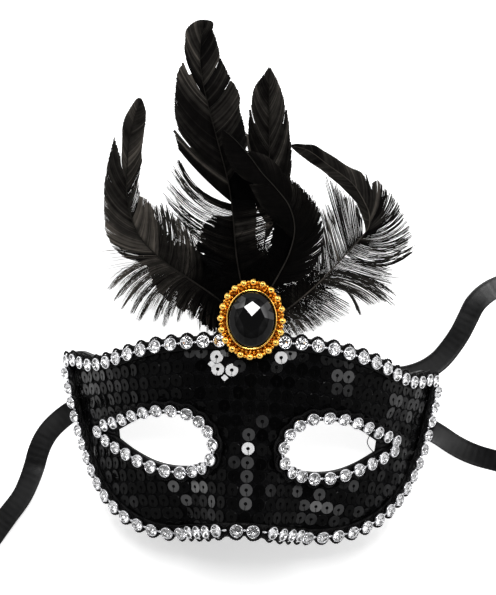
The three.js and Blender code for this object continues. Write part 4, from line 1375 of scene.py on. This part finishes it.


# Feathers. Spines are those of the CAD model. shade, streaks and dark_foot are the tone of a vane, how much
# its streaks add and how much its foot lacks; the streaks, and the paler shade of some vanes, are partly a
# painted sheen. shaft is the tone of the shaft. overlap is how far in millimetres a closed fan runs under
# its neighbours, and cover is how much separate barbs are thickened.
# Each side of a vane is made of fans of barbs: (side, first root, last root, looseness, bow, kind, tips).
# The side is -1 on the left and 1 on the right as one looks along the feather. Looseness 0 is a zipped vane,
# and bow is how far a barb bends towards the feather's tip, as a share of its length. A vane is a plain fan,
# tufts draws the barbs together at each tip, sparse sets them far apart, and backing is a dark layer under
# the rest. Roots and tips are pixels of the photo. In seven fans that were shaped again on the plan, roots
# are shares of the spine and tips are millimetres.
FEATHERS = {
    "feather_left": {
        "spine": [
            (-8, 57.5, 58.7), (-16, 64.3, 58.4), (-27.7, 71.7, 57.5), (-37.2, 77.3, 56),
            (-44.9, 83.1, 54.5), (-52.6, 91.1, 53), (-56.5, 100, 52), (-58.7, 110, 52),
            (-58.9, 123, 53), (-58.4, 132, 54.5), (-55.9, 144, 57), (-54, 150.8, 59),
        ],
        "shade": 0.28,
        "overlap": 1.4,
        "cover": 1,
        "streaks": 0.6,
        "dark_foot": 0.5,
        "shaft": 0.55,
        "fans": [
            (-1, (139, 102), (126.3, 180), 0.08, 0.06, "vane", [(140, 97), (136, 99.5), (131, 106),
             (125.5, 117), (122.3, 126), (121.8, 138), (122.3, 150), (121.5, 158)]),
            (-1, (126.3, 181), (155, 254), 0.1, 0.08, "vane", [(114.5, 137), (111.5, 147), (108, 162),
             (105.5, 180), (104, 200), (104, 216), (106.5, 232), (111.5, 243)]),
            (-1, (155, 253), (168, 265), 0.35, 0.05, "vane", [(111.5, 245), (118, 252), (126, 258)]),
            (-1, (150, 249), (172, 268), 1, -0.03, "sparse", [(97, 251.5), (96, 259), (98, 267),
             (103, 278)]),
            (-1, (158, 257), (205, 291), 0.85, -0.1, "tufts", [(106, 288), (114, 298), (119.5, 307),
             (130, 312), (137, 320), (155, 321), (163, 326), (178, 321), (193, 318)]),
            (-1, (160, 258), (205, 291), 1, -0.1, "vane", [(108, 280), (122, 296), (138, 309), (158, 314),
             (176, 314), (193, 317)]),
            (-1, (205, 291), (222, 302), 0.9, -0.08, "tufts", [(199, 331), (208, 335), (214, 338)]),
            (-1, (158, 256), (226, 305), 0.5, -0.06, "backing", [(144, 260), (150, 275), (156, 288),
             (165, 300), (180, 309), (195, 317), (212, 331)]),
            (-1, (205, 292), (240, 314), 0.3, -0.03, "backing", [(203, 324), (212, 331), (221, 338),
             (230, 334)]),
            (1, (140, 99), (127, 190), 0.08, 0.06, "vane", [(141.5, 98.5), (144, 103), (146, 112),
             (146, 120), (144.5, 130), (142.5, 142), (141.5, 152), (142.5, 161)]),
            (1, (127, 191), (132, 219), 0.5, 0.05, "vane", [(140.5, 165), (139.5, 175), (138.8, 188),
             (139.5, 194)]),
            (1, (132, 219), (158, 256), 0.3, 0.05, "vane", [(141, 195), (148, 201), (152, 206)]),
            (1, (150, 248), (200, 286), 0.7, 0.08, "vane", [(149, 204), (160, 208), (168, 214), (182, 224),
             (196, 240)]),
            (1, (152, 250), (200, 286), 0.7, 0.08, "tufts", [(154, 206), (159.5, 203), (165.5, 203),
             (170, 212), (176, 216), (183, 222), (190, 233), (199, 243)]),
            (1, (131, 214), (228, 306), 0.3, 0.05, "backing", [(145, 204), (151, 213), (160, 224),
             (171, 235), (184, 243), (198, 250), (212, 258), (228, 266), (238, 278)]),
        ],
    },
    "feather_right": {
        "spine": [
            (6, 56, 60.3), (14.6, 61.5, 60.1), (27.5, 73.3, 59.4), (38.2, 85.5, 58.5),
            (45.2, 94, 58.5), (48.4, 99, 58.8), (48.2, 105, 59.4), (45.8, 109.8, 60.2),
            (40.7, 116.9, 61.5), (29, 125, 63.5), (20, 130.6, 66), (12.2, 132.1, 69),
        ],
        "shade": 0.2,
        "overlap": 1.4,
        "cover": 1.15,
        "streaks": 0.5,
        "dark_foot": 0.1,
        "shaft": 0.85,
        "fans": [
            (-1, (293, 146), (367, 214), 0.04, 0.05, "vane", [(290.5, 147), (296, 152), (303, 157),
             (312, 163), (322, 170), (330, 177), (338, 184), (346, 191), (352, 197)]),
            (-1, (367, 214), (368.5, 226), 0.1, 0.05, "vane", [(356, 203), (361, 213), (364, 224),
             (365, 231)]),
            (-1, (363, 235), (346, 254), 0.56, 0, "vane", [(361, 217), (358, 207), (352, 198.5), (345, 192),
             (338, 186), (331, 180), (323, 173)]),
            (-1, (346, 254), (334, 267), 0.62, 0, "vane", [(330, 205), (325, 206), (321, 212)]),
            (-1, (334, 267), (300, 300), 0.6, 0, "vane", [(322, 220), (322, 240), (316, 255), (306, 268),
             (296, 280)]),
            (-1, (300, 300), (280, 312), 0.8, 0, "vane", [(300, 281), (291, 285), (284, 290), (279, 295)]),
            (-1, (312, 288), (276, 316), 0.25, 0, "backing", [(302, 279), (293, 284), (285, 290),
             (278, 297)]),
            (1, (292, 145), (367, 210), 0.03, 0.06, "vane", [(292, 144), (297, 143.3), (305, 144),
             (314, 145.5), (325, 151), (334, 157), (343, 163.5), (352, 168), (360, 172.5), (364.5, 177)]),
            (1, (367, 208), (369, 216), 0.2, 0.08, "vane", [(366, 173), (368.5, 180), (372, 190)]),
            (1, (368.5, 213), (368.5, 226), 0.15, 0.08, "vane", [(372.5, 183), (378.5, 180), (381, 186)]),
            (1, (369, 223), (364, 234), 0.4, 0.1, "vane", [(381.5, 185.5), (389, 192), (394, 196),
             (398.5, 203), (400.5, 210)]),
            (1, (364, 233), (356, 244), 0.54, 0.13, "vane", [(400.5, 210), (404.5, 219), (409, 226),
             (411.5, 235)]),
            (1, (357, 243), (348, 252), 0.64, 0.15, "vane", [(411.5, 236), (414, 248), (412, 253)]),
            (1, (349, 252), (346, 255), 0.7, 0.2, "tufts", [(413, 250.5), (412.5, 251.5)]),
            (1, (345, 256), (338, 264), 1, 0.06, "sparse", [(411, 267), (405, 277), (399, 282)]),
            (1, (344, 257), (330, 271), 0.75, 0, "vane", [(391, 268), (394, 283), (395, 293)]),
            (1, (330, 271), (322, 279), 0.8, -0.1, "tufts", [(396, 294), (394, 301), (395.5, 306)]),
            (1, (332, 269), (318, 283), 0.7, -0.08, "vane", [(392, 291), (389, 299), (381, 303),
             (370, 305)]),
            (1, (322, 279), (317, 284), 0.8, -0.08, "vane", [(378, 303), (370, 305.5)]),
            (1, (325, 276), (323, 278), 0.6, -0.14, "tufts", [(362, 316), (361, 315)]),
            (1, (316, 285), (296, 302), 0.75, 0, "vane", [(353, 306), (349, 314), (341, 320), (332, 323.5)]),
            (1, (298, 300), (274, 318), 0.75, -0.03, "vane", [(327, 322), (317, 328), (303, 333),
             (288, 337)]),
            (1, (296, 302), (280, 313), 0.9, -0.04, "tufts", [(322, 325), (318, 330), (306, 332),
             (297, 337)]),
        ],
    },
    "feather_narrow": {
        "spine": [
            (1, 57, 61.9), (2.2, 74, 61.9), (3.2, 91, 62.4), (4.2, 108, 63.5), (3.6, 124, 65),
            (2.7, 143, 67), (2.1, 154, 68.2), (1.8, 166.6, 69.4),
        ],
        "shade": 0.14,
        "overlap": 0.4,
        "cover": 1,
        "streaks": 0.62,
        "dark_foot": 0.2,
        "shaft": 0.5,
        "fans": [
            (-1, 0.975, 0.665, 0.08, 0.07, "vane", [(1.5, 165.5), (0, 163), (-2, 160), (-4, 157),
             (-5, 152.5), (-5, 148.8)]),
            (-1, 0.66, 0.38, 0.1, 0.07, "vane", [(-5.8, 146.6), (-6, 141.5), (-6, 136), (-5.5, 129.5),
             (-4, 121), (-3.5, 112.5)]),
            (-1, (268.5, 190), (268, 200), 0.2, 0.05, "vane", [(246, 132), (246.8, 140)]),
            (1, 0.975, 0.64, 0.08, 0.07, "vane", [(2, 165.5), (3.5, 163), (5, 160.5), (7, 156), (8.5, 152),
             (8.8, 149.4)]),
            (1, 0.635, 0.395, 0.1, 0.07, "vane", [(9.8, 147.4), (11, 142.5), (11.5, 137.5), (12, 133.5)]),
            (1, (268, 215), (266, 240), 0.15, 0.07, "vane", [(290.3, 150), (291.7, 160), (291, 170),
             (289, 178)]),
        ],
    },
    "feather_tall": {
        "spine": [
            (-3.5, 57, 63.4), (-5, 66, 63.5), (-8.8, 83.2, 64.8), (-11, 99.6, 67), (-13.4, 113.3, 69),
            (-19.2, 132.4, 71.5), (-23.5, 146, 72.5), (-27.7, 162.3, 72), (-28.3, 176, 69.5),
            (-26.1, 183.5, 67),
        ],
        "shade": 0.02,
        "overlap": 0.5,
        "cover": 0.9,
        "streaks": 0.7,
        "dark_foot": 0.25,
        "shaft": 0.5,
        "fans": [
            (-1, 0.975, 0.74, 0.02, 0.05, "vane", [(-27, 185), (-30, 184.5), (-33, 182.5), (-35, 179.5),
             (-35, 175.5), (-35, 170.5), (-34, 167.3)]),
            (-1, 0.735, 0.465, 0.03, 0.06, "vane", [(-35.6, 165.2), (-36.5, 163), (-37.5, 160.5),
             (-38, 152.5), (-38, 146), (-37.5, 141.5), (-36, 137)]),
            (-1, (226, 178), (229, 195), 0.05, 0.05, "vane", [(175.6, 131), (176, 137), (178, 145)]),
            (-1, (229, 195), (230, 203), 0.26, 0.03, "vane", [(178.5, 147), (180, 150)]),
            (-1, (230.3, 204), (231.5, 212), 0.3, 0.13, "vane", [(178.3, 160), (177, 164.5)]),
            (-1, (231.5, 208), (233, 222), 0.7, 0.12, "vane", [(175, 166), (169.5, 175)]),
            (-1, (233, 221), (234, 232), 0.7, 0.1, "vane", [(168, 180), (166.5, 187)]),
            (-1, (234, 231), (235, 242), 0.7, 0.1, "vane", [(164, 191), (168, 203)]),
            (-1, (235, 241), (237, 262), 0.8, 0.08, "vane", [(170, 207), (176, 216), (186, 228)]),
            (-1, 0.34, 0.085, 0.3, 0.06, "backing", [(-20, 101), (-24, 95.5), (-26, 89.5), (-24.5, 83),
             (-18, 76)]),
            (1, (205.5, 28), (202, 48), 0.02, 0.04, "vane", [(205.3, 19.5), (210.5, 20.8), (213.6, 23.6),
             (212.6, 26.5)]),
            (1, (202, 48), (200, 86), 0.03, 0.05, "vane", [(212.3, 27.5), (213.5, 34), (216.8, 42),
             (219, 50), (219.6, 57.5)]),
            (1, (200, 87), (206, 108), 0.03, 0.06, "vane", [(220.2, 58.5), (225, 67), (230.2, 78.5)]),
            (1, (206, 109), (227, 180), 0.04, 0.06, "vane", [(230.6, 80), (236, 89), (239.4, 97),
             (239.6, 109), (242, 120), (245, 133), (246.5, 145), (244.5, 150)]),
            (1, (226, 172), (241, 285), 0, 0.05, "backing", [(246, 152), (250, 165), (253, 180), (254, 195),
             (257, 212), (256, 230), (256, 246), (262, 260)]),
            (1, (229, 200), (241, 280), 0.45, 0.03, "vane", [(258, 200), (266, 208), (271, 218), (272, 230),
             (272, 240), (270, 250), (265, 258)]),
            (1, (236, 240), (243, 294), 0, 0.04, "backing", [(256, 240), (258, 252), (264, 262),
             (264, 280)]),
        ],
    },
    "feather_hooked": {
        "spine": [
            (2, 58, 64.9), (4.6, 66, 64.9), (9.8, 76, 66.2), (14.2, 86.3, 70), (15.6, 96.6, 74.6),
            (12.7, 105.5, 78.5), (6.4, 112.9, 81), (0.6, 118.6, 82.6), (-4.9, 125.2, 83.8),
            (-11.2, 131.8, 84), (-17.4, 136.7, 83.4),
        ],
        "shade": 0.06,
        "overlap": 1.4,
        "cover": 1,
        "streaks": 0.2,
        "dark_foot": 0.15,
        "shaft": 0.65,
        "fans": [
            (-1, (225, 131), (271, 183), 0.04, 0.1, "vane", [(221, 128.5), (222, 140), (226, 155),
             (233, 168), (243, 178)]),
            (-1, (271, 183), (295, 236), 0.04, 0.1, "vane", [(250, 184), (256, 197), (262, 207), (268, 214),
             (275, 218)]),
            (-1, (295, 226), (270, 290), 0.1, 0.1, "backing", [(277, 216), (273, 226), (271, 240),
             (270, 250), (265, 258), (260, 268), (256, 280)]),
            (1, (224, 130.5), (262, 172), 0.03, 0.04, "vane", [(222, 127.5), (233, 136), (243, 147),
             (247, 151)]),
            (1, (262, 173), (290, 208), 0.03, 0.06, "vane", [(248, 151), (257, 152.5), (267, 157),
             (276, 165), (284, 174.5), (289, 180)]),
            (1, (290, 207), (292, 250), 0.2, 0.1, "vane", [(290, 180), (297, 183.5), (304, 190), (311, 198),
             (317, 206.5), (320.5, 214)]),
            (1, (290, 205), (292, 250), 0.85, 0.1, "vane", [(290, 178), (297, 181), (305, 187), (313, 195.5),
             (319, 204), (322.5, 215)]),
            (1, (292, 250), (275, 283), 0.2, 0.08, "vane", [(322, 220), (323, 235), (322, 247), (318.5, 259),
             (312, 269), (302, 278)]),
        ],
    },
}
BARB = {"points": 8, "finest": 0.09, "widest": 0.5, "ridge": 0.4, "ridge_most": 0.3, "lean": 0.3}
# Millimetres from one barb to the next. A vane's barbs come closer as it gets looser.
BARB_STEPS = {"vane": 0.36, "loose_vane": 0.13, "tufts": 0.13, "backing": 0.5, "sparse": 1.1}
CLOSED_BELOW = 0.25
# How tips are drawn together: millimetres of edge to a tuft, how uneven tufts are, how strongly they pull in
# either kind of fan, and how far tips stray.
TUFT = {"length": 2.2, "uneven": 0.35, "pull": 0.7, "loose_pull": 0.14, "stray": 0.4}
# How much shorter barbs are than their fan: at random when loose, all of them a little, where they run under
# the next fan, and in a backing.
SHORTER = {"loose": 0.3, "random": 0.007, "under": 0.5, "backing": 0.08}
REACH_BEYOND = 1.02
# How a loose barb wanders sideways, and how far barbs sink or rise towards their tips.
WANDER = {"size": 0.3, "bend": 2.6, "phase": 6}
RISE = {"droop": -0.045, "tufts": 3, "own": 1.4, "uneven": 0.5, "spacing": 3.5, "backing": 1.6, "under": 0.3}
# Widths of barbs as shares of the gap between them, with their limits, for closed vanes and backings.
ZIPPED = {"share": 1.8, "least": 0.32, "most": 3, "taper": 0.3}
BACKING = {"share": 2, "least": 0.5, "most": 2.5, "tone": 0.1}
# Barbs of a loose fan: every few one is bolder, and each has a boldness of its own.
BOLD = {"every": 4, "bold": 1.3, "plain": 0.85, "own_least": 0.75, "own_more": 0.5}
# Their widths as a share of the gap: less when looser, towards the tip and when very loose.
APART = {"share": 1.55, "tip": 0.15, "very_loose": 0.25, "very_from": 0.7, "very_over": 0.2, "taper": 0.5}
FREE = {"from": 0.2, "over": 0.4}
# Streaks along a vane, partly the barbs' own and partly a painted sheen: spacings in millimetres of narrow,
# broad and fine ones, and weights of the first two.
STREAK_AND_SHEEN = {"narrow": 2.2, "broad": 9, "fine": 0.8, "narrow_part": 0.4, "broad_part": 0.6}
FADE = {"looser": 0.3, "tighter": 0.6, "length": 6, "least": 0.15}
# Tones: what streaks and fine streaks add, partly as a painted sheen, what a barb's own number, looseness
# and tip add, and how much the dark foot fades along a barb.
TONE = {"streak_and_sheen": 0.85, "power": 1.7, "fine": 0.15, "fine_in_streak": 0.6, "own": 0.15, "loose": 0.15,
        "tip": 0.2, "tip_least": 0.3, "foot_fades": 0.9}
DARK_FOOT_SHARE = 0.45
DOWN = {"barbs": 700, "share": 0.26, "shortest": 5, "longest": 15, "width": 0.22, "points": 7,
        "least_angle": 30, "most_angle": 105, "start": 0.01, "curl": 0.12, "taper": 0.6, "tip_tone": 0.1}
DOWN_SINK = {"mean": -0.3, "spread": 0.18, "share": 0.4}
DOWN_TONE = (-0.1, 0.25)
SHAFT = {"radius": 0.3, "tip_radius": 0.07, "taper": 0.8, "end": 0.985, "lift": 0.2, "rings": 90}
# Steps along a spine in which pixels are looked up, and the fineness of the roots and tips that are found.
SPINE_STEPS = 3000
ROOTS_PER_SPINE = 200
TIPS_PER_MM = 2


def fan_in_plan(spine_points, fan):
    """A fan with its roots as shares of the spine and its tips in millimetres."""
    side, first_root, last_root, loose, bow, kind, tips = fan
    if not isinstance(first_root, tuple):
        return fan
    shaft = evenly(np.array(spine_points, float), SPINE_STEPS)
    pixels = in_photo(shaft)

    def nearest(pixel):
        return int(np.argmin(np.linalg.norm(pixels - pixel, axis=1)))

    def share(root):
        return round(nearest(root) * ROOTS_PER_SPINE / SPINE_STEPS) / ROOTS_PER_SPINE

    ends = np.array([in_plan(tip, shaft[nearest(tip), 2]) for tip in tips])
    ends = np.round(ends * TIPS_PER_MM) / TIPS_PER_MM
    return side, share(first_root), share(last_root), loose, bow, kind, ends


class Spine:
    """A feather's shaft, with its frame at any share of its length."""

    def __init__(self, points):
        self.line = evenly(smooth_line(points), 400)
        self.length = run_lengths(self.line)[-1]
        self.along = unit(np.gradient(self.line, axis=0))
        self.side = unit(np.stack([self.along[:, 1], -self.along[:, 0], 0 * self.along[:, 0]], axis=1))
        self.up = np.cross(self.side, self.along)

    def at(self, values, share):
        place = np.clip(share, 0, 1) * (len(self.line) - 1)
        first = np.minimum(place.astype(int), len(self.line) - 2)
        part = (place - first)[..., None]
        return values[first] * (1 - part) + values[first + 1] * part

    def height_near(self, plan):
        """Height of the shaft at its nearest point to each place on the plan."""
        gaps = np.linalg.norm(plan[:, None] - self.line[None, :, :2], axis=2)
        return self.line[np.argmin(gaps, axis=1), 2]


def add_barbs(pile, lines, widths, tones, lean):
    """Thin tapered blades along lines, each with three edges; lean tips them like shingles."""
    count, points, _ = lines.shape
    along = unit(np.gradient(lines, axis=1))
    flat = unit(np.cross(along, np.array([0, 0, 1.0])))
    rise = np.cross(flat, along)
    half = (widths / 2)[..., None]
    left = lines - flat * half - rise * half * lean
    right = lines + flat * half + rise * half * lean
    ridge = lines + rise * np.minimum(half, BARB["ridge_most"]) * BARB["ridge"]
    corners = np.stack([left, right, ridge], axis=2).reshape(-1, 3)
    one = triangles(lathe_faces(points, 3))
    last = (points - 1) * 3
    one = np.concatenate([one, [(0, 2, 1), (last, last + 1, last + 2)]])
    faces = (one[None] + (np.arange(count) * points * 3)[:, None, None]).reshape(-1, 3)
    pile.add(corners, faces, tone=np.repeat(tones, 3, axis=-1).reshape(-1))


def uneven(rng, places, spacing):
    """A smooth random value from 0 to 1 along a line, changing every spacing."""
    stops = np.arange(places.min() - spacing, places.max() + 2 * spacing, spacing)
    return np.interp(places, stops, rng.uniform(0, 1, len(stops)))


def along_path(path, shares):
    lengths = run_lengths(path)
    return np.stack([np.interp(shares * lengths[-1], lengths, column) for column in path.T], axis=1)


def gathered(rng, shares, tips, path, loose, kind):
    """Tips drawn together into pointed tufts, and a random number for each tuft."""
    if kind == "tufts":
        group = np.minimum((shares * len(tips)).astype(int), len(tips) - 1)
        centres, pull = np.array(tips, float), TUFT["pull"]
    else:
        groups = max(2, round(run_lengths(path)[-1] / TUFT["length"]))
        stray = rng.uniform(-TUFT["uneven"], TUFT["uneven"], groups - 1)
        edges = (np.arange(1, groups) + stray) / groups
        group = np.searchsorted(edges, shares)
        edges = np.concatenate([[0], edges, [1]])
        centres = along_path(path, (edges[:-1] + edges[1:]) / 2)
        pull = TUFT["loose_pull"] * loose * (loose > CLOSED_BELOW)
    ends = along_path(path, shares)
    ends = ends + (centres[group] - ends) * pull
    return ends + rng.normal(0, TUFT["stray"], ends.shape) * loose, rng.uniform(0, 1, len(centres))[group]


def barb_step(loose, kind):
    if kind == "vane":
        return BARB_STEPS["vane"] + (BARB_STEPS["loose_vane"] - BARB_STEPS["vane"]) * loose
    return BARB_STEPS[kind]


def barb_widths(lines, t, own, loose, kind, cover):
    """Widths that close a zipped vane and leave gaps between the barbs of a loose one."""
    spread = np.linalg.norm(np.cross(np.gradient(lines, axis=0), unit(np.gradient(lines, axis=1))), axis=2)
    if kind == "backing":
        return np.clip(spread * BACKING["share"], BACKING["least"], BACKING["most"])
    free = np.clip((loose - FREE["from"]) / FREE["over"], 0, 1)
    zipped = np.clip(spread * ZIPPED["share"], ZIPPED["least"], ZIPPED["most"])
    zipped = zipped * (1 - ZIPPED["taper"] * t**4)
    bold = np.where(np.arange(len(lines)) % BOLD["every"] == 0, BOLD["bold"], BOLD["plain"])
    bold = bold * (BOLD["own_least"] + BOLD["own_more"] * own) * cover
    very_loose = np.clip((loose - APART["very_from"]) / APART["very_over"], 0, 1)
    share = APART["share"] - loose - APART["tip"] * t - APART["very_loose"] * very_loose
    apart = np.clip(spread * share * bold[:, None], BARB["finest"], BARB["widest"])
    apart = apart * (1 - APART["taper"] * t**4)
    return zipped * (1 - free) + apart * free


def barb_tones(rng, shares, reach, roots, t, own, loose, look):
    """Tones with streaks along the vane, partly the barbs' own and partly a painted sheen, paler towards the
    tips and darker at the feather's foot.
    """
    streak_and_sheen = uneven(rng, shares * reach, STREAK_AND_SHEEN["narrow"]) * STREAK_AND_SHEEN["narrow_part"]
    streak_and_sheen = streak_and_sheen + uneven(rng, shares * reach, STREAK_AND_SHEEN["broad"]) * STREAK_AND_SHEEN["broad_part"]
    fine = uneven(rng, shares * reach, STREAK_AND_SHEEN["fine"])
    stripes = TONE["streak_and_sheen"] * streak_and_sheen ** TONE["power"]
    stripes = stripes + (TONE["fine"] + TONE["fine_in_streak"] * streak_and_sheen) * fine**3
    fade = 1
    if FADE["looser"] < loose < FADE["tighter"]:
        fade = np.clip(np.minimum(shares, 1 - shares) * reach / FADE["length"], FADE["least"], 1)
    tone = look["shade"] + look["streaks"] * stripes * fade
    tone = tone + TONE["own"] * own * fade + TONE["loose"] * loose * fade
    foot = np.clip(1 - roots / DARK_FOOT_SHARE, 0, 1) * look["dark_foot"]
    tip = TONE["tip"] * t**3 * (TONE["tip_least"] + streak_and_sheen)[:, None]
    return tone[:, None] + tip - foot[:, None] * (1 - TONE["foot_fades"] * t)


def add_fan(pile, rng, spine, look, fan):
    side, first_root, last_root, loose, bow, kind, tips = fan
    path = smooth_line(tips)
    root_run = abs(last_root - first_root) * spine.length
    reach = max(run_lengths(path)[-1], root_run)
    closed = loose < CLOSED_BELOW and kind == "vane"
    beyond = look["overlap"] / max(root_run, 1) * closed
    count = max(4, round(reach * (1 + 2 * beyond) / barb_step(loose, kind)))
    places = (np.arange(count) + 0.5) / count + rng.uniform(-0.5, 0.5, count) * loose / count
    places = places * (1 + 2 * beyond) - beyond
    shares = np.clip(places, 0, 1)
    ends, shared = gathered(rng, shares, tips, path, loose, kind)
    own = rng.uniform(0, 1, count)
    roots = spine.at(spine.line, first_root + (last_root - first_root) * places)
    ends = np.column_stack([ends, spine.height_near(ends)])
    chord = ends - roots
    part = 1 - SHORTER["loose"] * loose * own**2 + rng.normal(0, SHORTER["random"], count)
    if closed:
        part = part * (1 - SHORTER["under"] * np.abs(places - shares) / beyond)
    if kind == "backing":
        part = 1 - (SHORTER["backing"] + loose) * own**2
    chord = chord * part[:, None] * REACH_BEYOND
    length = np.linalg.norm(chord, axis=1)
    tipward = side * np.column_stack([-chord[:, 1], chord[:, 0], 0 * length])
    t = np.linspace(0, 1, BARB["points"])[None, :, None]
    wander = loose * WANDER["size"] * np.sin(WANDER["bend"] * t + WANDER["phase"] * own[:, None, None]) * t
    lines = roots[:, None] + chord[:, None] * t - tipward[:, None] * (bow * 4 * t * (1 - t))
    lines = lines + unit(tipward)[:, None] * wander
    lift = RISE["droop"] * length[:, None, None] * t**2
    lift = lift + loose * ((shared - 0.5) * RISE["tufts"])[:, None, None] * t**1.5
    lift = lift + loose * (own - 0.5)[:, None, None] * RISE["own"] * t
    lift = lift + RISE["uneven"] * uneven(rng, shares * reach, RISE["spacing"])[:, None, None] * t
    lift = lift - (RISE["backing"] if kind == "backing" else 0)
    lift = lift - RISE["under"] * (np.abs(places - shares) > 0)[:, None, None]
    lines = lines + lift * np.array([0, 0, 1.0])
    t = t[..., 0]
    widths = barb_widths(lines, t, own, loose, kind, look["cover"])
    root_shares = first_root + (last_root - first_root) * shares
    tones = barb_tones(rng, shares, reach, root_shares, t, own, loose, look)
    if kind == "backing":
        tones = 0 * tones + BACKING["tone"] * own[:, None]
    add_barbs(pile, lines, widths, tones, BARB["lean"] * side)


def add_down(pile, rng, spine):
    """Soft barbs without order round the foot of the shaft."""
    count = DOWN["barbs"]
    side = rng.choice([-1, 1], count)[:, None]
    share = DOWN["start"] + rng.uniform(0, 1, count) * DOWN["share"]
    least, most = math.radians(DOWN["least_angle"]), math.radians(DOWN["most_angle"])
    angle = rng.uniform(least, most, count)[:, None]
    way = spine.at(spine.along, share) * np.cos(angle) + spine.at(spine.side, share) * np.sin(angle) * side
    length = rng.uniform(DOWN["shortest"], DOWN["longest"], count)[:, None, None]
    t = np.linspace(0, 1, DOWN["points"])[None, :, None]
    curl = rng.normal(0, DOWN["curl"], (count, 1, 1))
    swerve = np.cross(way, spine.at(spine.up, share))
    sink = rng.normal(DOWN_SINK["mean"], DOWN_SINK["spread"], (count, 1, 1)) * t * DOWN_SINK["share"]
    bent = way[:, None] * t + swerve[:, None] * (curl * t**2) + np.array([0, 0, 1.0]) * sink
    lines = spine.at(spine.line, share)[:, None] + length * bent
    widths = DOWN["width"] * (1 - DOWN["taper"] * t[..., 0]) + 0 * length[..., 0]
    tones = rng.uniform(*DOWN_TONE, (count, 1)) + DOWN["tip_tone"] * t[..., 0]
    add_barbs(pile, lines, widths, tones, 0.0)


def add_feather(name, shape, seed):
    rng = np.random.default_rng(seed)
    spine = Spine(shape["spine"])
    pile = Pile()
    shares = np.linspace(0, SHAFT["end"], SHAFT["rings"])
    line = spine.at(spine.line, shares) + (0, 0, SHAFT["lift"])
    radii = SHAFT["radius"] * (1 - shares) ** SHAFT["taper"] + SHAFT["tip_radius"]
    pile.add(*tube(line, radii, sides=6), tone=shape["shaft"])
    for fan in shape["fans"]:
        add_fan(pile, rng, spine, shape, fan_in_plan(shape["spine"], fan))
    add_down(pile, rng, spine)
    pile.piece("plume_" + name.removeprefix("feather_"), [FEATHER_LOOK], [name])


for number, (feather_name, feather_shape) in enumerate(FEATHERS.items()):
    add_feather(feather_name, feather_shape, SEED + 10 + number)
